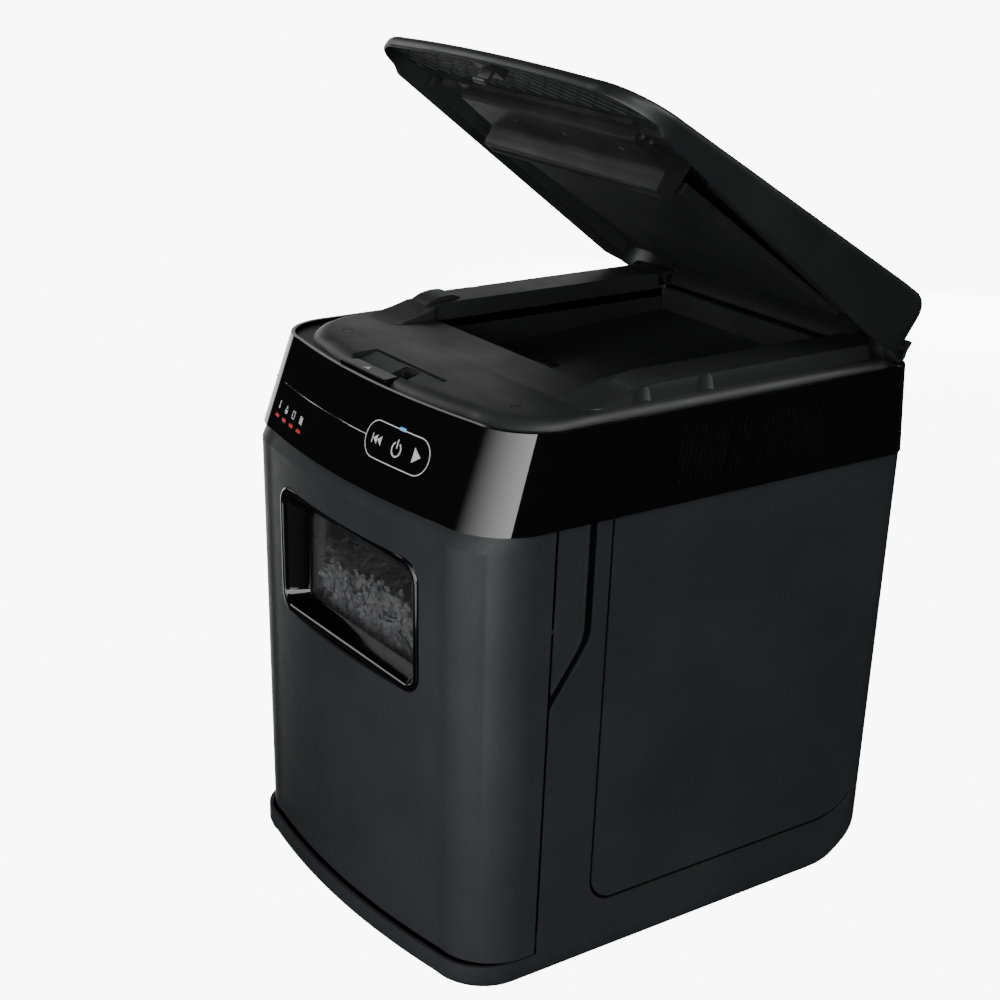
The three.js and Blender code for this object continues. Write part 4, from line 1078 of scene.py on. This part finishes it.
# ---- Lid, drawn closed and then opened ----
SHOULDER = 32
LID_WALL = 3.0
LID_EDGE = 7.0
LID_FOOT = ((3.4, 1.6), (3.0, 0.5), (2.2, 0.0), (1.2, 0.0), (0.4, 0.5), (0.0, 1.5))  # inset, height
SLOT_HALF, SLOT_WIDTH = 118, 8
BRACKET_X0, BRACKET_X1, BRACKET_TOP = 147.7, 167.3, 8.7


def slot_cutter(half=SLOT_HALF):
    return box(-half, half, THROAT_Y - SLOT_WIDTH / 2, THROAT_Y + SLOT_WIDTH / 2, 470, 600)


def both_sides(x0, x1):
    """The span from x0 to x1 on the left, then on the right."""
    return (-x1, -x0), (x0, x1)


def lid_top(y):
    return LID_BOTTOM + LID_FRONT_HEIGHT + LID_SLOPE * (y - LID_FRONT_Y)


def lid_profile(y, drop):
    """Height of the lid's upper surface, or of its inner side when drop is the wall."""
    shoulder_y = LID_BACK_Y - SHOULDER
    if y <= shoulder_y:
        return lid_top(y) - drop
    radius = SHOULDER - drop
    across = min(y - shoulder_y, radius)
    return lid_top(shoulder_y) - SHOULDER + sqrt(radius * radius - across * across)


def lid_foot(y):
    """Height of the lid's lower edge, which lifts a little at the front and at the back."""
    front = max(0.0, min(1.0, (-130 - y) / 12))
    back = max(0.0, min(1.0, (y - 192) / 8))
    return LID_BOTTOM + 4 * max(front * front * (3 - 2 * front), back * back * (3 - 2 * back))


def ring(inset, height, scale=1.0):
    """The lid's outline, inset and scaled, at a height that depends on y."""
    outline = lid_plan(inset)
    centre_y = (LID_FRONT_Y + LID_BACK_Y) / 2
    outline = [(x * scale, centre_y + (y - centre_y) * scale) for x, y in outline]
    return [(x, y, height(y)) for x, y in outline]


def skin_ring(inset, wall, drop=0, scale=1.0):
    """A ring on the lid's upper surface, or on its inner side, lowered by drop."""
    return ring(inset, lambda y: lid_profile(y, wall) - drop, scale)


def lid_skin():
    rings = []
    for angle in (0, 15, 30, 45, 60, 75, 90):
        a = radians(angle)
        rings.append(skin_ring(LID_EDGE * (1 - cos(a)), 0, LID_EDGE * (1 - sin(a))))
    rings += [skin_ring(inset, 0) for inset in (11, 16, 22, 28, 34, 40, 46)]
    rings += [skin_ring(46, 0, scale=scale) for scale in (0.75, 0.5, 0.25, 0.02)]
    outside = len(rings)
    rings += [skin_ring(46, LID_WALL, scale=scale) for scale in (0.02, 0.25, 0.5, 0.75, 1.0)]
    rings += [skin_ring(inset, LID_WALL) for inset in (34, 22, 12, 8)]
    rings += [skin_ring(5.0, LID_WALL, 2), skin_ring(3.6, LID_WALL, 5)]
    rings += [ring(inset, lambda y, u=up: lid_foot(y) + u) for inset, up in LID_FOOT]
    count = len(rings[0])
    points = [p for r in rings for p in r]
    faces = [f for f in band_faces(len(rings), count, closed=True) if f[0] // count != outside - 1]
    top, under = (outside - 1) * count, outside * count
    faces.append(tuple(range(top, top + count)))
    faces.append(tuple(reversed(range(under, under + count))))
    shell = cut(make(points, faces), slot_cutter())
    for x0, x1 in reversed(both_sides(BRACKET_X0, BRACKET_X1)):
        cut(shell, box(x0, x1, 205, FAR, 0, HINGE_Z + BRACKET_TOP))
    return shell


piece(open_lid(lid_skin()), "lid_skin", "lid", LID_SKIN, ["lid_shell"], sharp=40)


def knuckles():
    """The lid's hinge barrels, one on each side of each bracket."""
    spans = [(127.7, BRACKET_X0), (BRACKET_X1, 180.5), (-BRACKET_X0, -127.7), (-180.5, -BRACKET_X1)]
    solid = None
    for x0, x1 in spans:
        barrel = cylinder_x(7.5, x0, x1, HINGE_Y, HINGE_Z)
        add(barrel, prism_x(rectangle(221, 224.6, 496, 514), x0, x1))
        cut(barrel, cylinder_x(4.3, x0 - 1, x1 + 1, HINGE_Y, HINGE_Z))
        solid = add(solid, barrel) if solid else barrel
    return solid


piece(open_lid(knuckles()), "lid_knuckles", "lid", LID_SKIN, edge=0.5)

PLATE_HALF, PLATE_FRONT, PLATE_BACK = 116, (-36, 490), (192, 505)


def plate_skin():
    """The sheet that presses the pile down, with a turned-up front edge and low side walls."""
    (y0, z0), (y1, z1) = PLATE_FRONT, PLATE_BACK
    half = PLATE_HALF
    plate = prism_x([(y0, z0), (y1, z1), (y1, z1 + 2.6), (y0, z0 + 2.6)], -half, half)
    add(plate, prism_x(rectangle(y0, y0 + 2.5, z0 + 1, z0 + 9), -half, half))
    for x0, x1 in both_sides(half - 3, half + 3.4):
        add(plate, prism_x([(y0, z0), (y1, z1), (y1, z1 + 5.4), (y0, z0 + 10.4)], x0, x1))
    return plate


piece(open_lid(plate_skin()), "plate_skin", "pressure_plate", MATTE, ["pressure_plate"],
      edge=0.8)

LINER = [(-183, 499), (-160, 502.5), (-112, 508.3), (-66, 513.5), (200, 516)]


def liner_height(y):
    for (y0, z0), (y1, z1) in zip(LINER, LINER[1:]):
        if y <= y1:
            return z0 + (z1 - z0) * (y - y0) / (y1 - y0)
    return LINER[-1][1]


def liner_skin():
    """The lid's inner cover, with a strip and a wall on each side of the pressure plate."""
    outline = softened([*LINER, *[(y, z + 2.4) for y, z in reversed(LINER)]],
                       [0, 8, 8, 8, 0, 0, 8, 8, 8, 0], 5)
    wall = [(-104, 499), (-98, 497.5), (185, 497.5), (185, 515.5), (-40, 513.8), (-104, 508.6)]
    skin = keep(prism_x(outline, -FAR, FAR), prism_z(lid_plan(3.7), 400, 600))
    for strip, side in zip(both_sides(121, 168.2), both_sides(168, 176.5)):
        add(skin, box(*strip, -18, 190, 509.2, 515.5), prism_x(wall, *side))
    return cut(skin, slot_cutter())


piece(open_lid(liner_skin()), "liner_skin", "lid", MATTE, ["lid_liner"], edge=0.8)


def liner_ribs():
    """Thin crossing ribs moulded under the lid's free edge."""
    points, faces = [], []
    half, depth, steps = 0.3, 0.7, 12
    front, back, pitch = -177, -124, 22

    def lid_half(y):
        return 128 + sqrt(44 ** 2 - min(0, y + 129) ** 2) if y > -172 else 138

    def rib(x0, y0, x1, y1):
        along = Vector((x1 - x0, y1 - y0))
        side = Vector((-along.y, along.x)).normalized() * half
        run = [(x0 + along.x * i / steps, y0 + along.y * i / steps) for i in range(steps + 1)]
        run = [(x, y) for x, y in run if abs(x) < lid_half(y)]
        if len(run) < 2:
            return
        first = len(points)
        for x, y in run:
            for s in (-1, 1):
                for low in (0.3, -depth):
                    points.append((x + s * side.x, y + s * side.y, liner_height(y + s * side.y) + low))
        faces.extend(run_faces(first, len(run) - 1))

    for i in range(-10, 11):
        for lean in (-1, 1):
            rib(i * pitch - lean * 33, front, i * pitch + lean * 33, back)
    for y in (front, back):
        rib(-170, y, 170, y)
    return make(points, faces)


piece(open_lid(liner_ribs()), "liner_ribs", "lid", MATTE, sharp=40, tidy=False)


def feed_chute():
    """The manual slot's block: two rolls at each end, a ledge with ears and three bosses."""
    block = prism_x(softened([
        (-106, 508.8), (-105, 495.6), (-62, 495.2), (-60, 490), (-59, 478), (-43, 478), (-41, 500),
        (-41, 514), (-66, 513.4),
    ], [0, 2.5, 3, 2, 2.5, 2.5, 2, 0, 0], 5), -119, 119)
    add(block, prism_x([(-116, 507.4), (-115, 503.6), (-104, 503.2), (-104, 509)], -119, 119))
    for side, (x0, x1) in zip((-1, 1), both_sides(118, 158)):
        add(block, prism_x([(-105, 508.8), (-104, 503.2), (-84, 505.6), (-82, 511.2)], x0, x1))
        for y, low in ((-98, 500.4), (-88, 502.4)):
            add(block, cylinder_z(3.2, low, 510.4, side * 118.6, y, 24))
    for x in (-62, 8, 84):
        add(block, cylinder_z(3.4, 494.7, 496.5, x, -82, 24))
    return cut(block, slot_cutter(116))


piece(open_lid(feed_chute()), "chute_block", "lid", DARK, ["manual_feed_chute"], edge=0.7)


HOOK_Y = -172
HOOK = (  # y from the hook's middle, height, corner radius
    (-4, 483, 1.2), (1, 483, 0.6), (1, 498, 0), (-2, 498, 0), (-2, 487, 0.6), (-4, 486, 0.8),
)


def lid_hook():
    outline = softened([(HOOK_Y + y, z) for y, z, _ in HOOK], [radius for _, _, radius in HOOK], 4)
    base = prism_z(rounded(-13, 9, HOOK_Y - 11, HOOK_Y + 11, 1.5), 494.9, 501.2)
    return add(prism_x(outline, -10, 6), base)


piece(open_lid(lid_hook()), "catch_hook", "lid", DARK, ["lid_catch"], edge=0.3)

# ---- CAD nodes that stay: finished with their own materials and softened edges ----
CARRIED = {
    RUBBER: "foot_* feed_roller_* feed_belt",
    STEEL: "chassis_plate cutter_frame_* tie_rod_* cutter_front cutter_rear feed_shaft motor motor_pinion",
    DARK_STEEL: "deck_screw_* lid_hinge_pin_*",
    NYLON: "cutter_*_gear layshaft_*",
    MATTE: "feed_tray throat_guide hinge_bracket_*",
    DARK: "bin_tub drawer_rail_* stripper_* gear_guard interlock_switch mains_inlet rocker_bezel "
          "power_rocker *_pulley",
    PANE: "window_pane",
    BOARD: "*_board",
}
SOFT_EDGES = {0.8: "feed_tray", 0.6: "hinge_bracket_* bin_tub power_rocker", 0.4: "rocker_bezel",
              0.3: "mains_inlet drawer_rail_*"}


def matching(patterns):
    """The CAD nodes whose names fit one of these patterns."""
    names = [name for pattern in patterns.split() for name in fnmatch.filter(frame["nodes"], pattern)]
    return [frame["nodes"][name] for name in names]


for material, patterns in CARRIED.items():
    for node in matching(patterns):
        for holder in node.material_slots:
            holder.material = material
for width, patterns in SOFT_EDGES.items():
    for node in matching(patterns):
        soften_edges(node, width, 30, 2)

# ---- Stage, in metres ----
FLOOR_REACH = 14.0
BACKDROP = 9.0
AMBIENT = 0.025
GLOWS = (  # direction, outer and inner half-angle in degrees, radiance
    ((-0.975, 0.172, -0.139), 23, 20, 2.6),
    ((0.39, -0.84, -0.375), 34, 8, 0.22),
)
MIDDLE = (0, 0, 0.35)
LAMPS = (  # name, place, target, width, height, watts, and the fade of the first
    ("front_softbox", (0.974, -2.41, 0.85), (0, 0, 0.45), 5.5, 1.6, 275, (0.0, 1.0)),
    ("high_right", (1.5, -0.3, 2.2), MIDDLE, 1.0, 1.0, 22),
    ("high_left", (-1.75, -0.8, 1.6), (0, -0.1, 0.42), 1.0, 0.8, 10),
    ("overhead", (0.95, 1.2, 2.1), MIDDLE, 1.2, 1.2, 20),
    ("back_left", (-1.7, 1.15, 1.15), MIDDLE, 0.9, 0.7, 1.6),
    ("rear_low", (-1.5, 1.9, 0.28), (0, 0.1, 0.25), 1.2, 0.44, 45),
    ("low_front", (0.3, -1.3, 0.06), (0, 0.1, 0.7), 1.4, 0.5, 9),
)


def area_light(name, place, target, width, height, power, fade=None):
    """A soft light; fade gives its strength at its left and right ends."""
    lamp = bpy.data.lights.new(name, "AREA")
    lamp.shape = "RECTANGLE"
    lamp.size = width
    lamp.size_y = height
    lamp.energy = power
    if fade:
        lamp.use_nodes = True
        tree = lamp.node_tree
        surface = add_node(tree, "NewGeometry", {}).outputs["Parametric"]
        across = add_node(tree, "SeparateXYZ", {"Vector": surface}).outputs["X"]
        values = {"Value": across, "To Min": fade[0], "To Max": fade[1]}
        strength = add_node(tree, "MapRange", values, interpolation_type="SMOOTHSTEP")
        tree.links.new(strength.outputs["Result"], tree.nodes["Emission"].inputs["Strength"])
    holder = into_scene(bpy.data.objects.new(name, lamp))
    holder.location = place
    holder.rotation_euler = (Vector(target) - Vector(place)).to_track_quat("-Z", "Y").to_euler()


def stage_material():
    n = Nodes("stage_floor")
    n.set("Base Color", n.blend(n.noise(3.0), (0.22, 0.22, 0.22), (0.24, 0.24, 0.24)))
    n.set("Roughness", n.ramp(n.noise(20.0), 0.9, 1.0))
    n.set("Specular IOR Level", 0.0)
    n.set("Emission Color", (1, 1, 1, 1))
    n.set("Emission Strength", BACKDROP)
    return n.material


def make_floor():
    """Pale and bright to the camera, and kept out of reflections and bounced light."""
    mesh = bpy.data.meshes.new("floor")
    corners = rectangle(-FLOOR_REACH, FLOOR_REACH, -FLOOR_REACH, FLOOR_REACH)
    mesh.from_pydata([(*corner, 0) for corner in corners], [], [(0, 1, 2, 3)])
    mesh.materials.append(stage_material())
    floor = into_scene(bpy.data.objects.new("floor", mesh))
    floor.visible_glossy = False
    floor.visible_diffuse = False


def studio_world():
    """White to the camera; dark to everything else, apart from a few soft glows."""
    world = bpy.data.worlds.new("studio")
    world.use_nodes = True
    tree = world.node_tree
    direction = add_node(tree, "TexCoord", {}).outputs["Generated"]
    level = AMBIENT
    for towards, outer, inner, radiance in GLOWS:
        facing = add_node(
            tree, "VectorMath", {0: direction, 1: Vector(towards).normalized()}, operation="DOT_PRODUCT")
        glow = add_node(tree, "MapRange", {
            "Value": facing.outputs["Value"],
            "From Min": cos(radians(outer)),
            "From Max": cos(radians(inner)),
            "To Max": radiance,
        }, interpolation_type="SMOOTHSTEP")
        level = add_node(tree, "Math", {0: glow.outputs["Result"], 1: level}).outputs["Value"]
    seen = add_node(tree, "LightPath", {}).outputs["Is Camera Ray"]
    strength = add_node(tree, "Mix", {"Factor": seen, "A": level, "B": BACKDROP})
    background = tree.nodes["Background"]
    background.inputs["Color"].default_value = (1, 1, 1, 1)
    tree.links.new(strength.outputs["Result"], background.inputs["Strength"])
    bpy.context.scene.world = world


make_floor()
studio_world()
for lamp in LAMPS:
    area_light(*lamp)
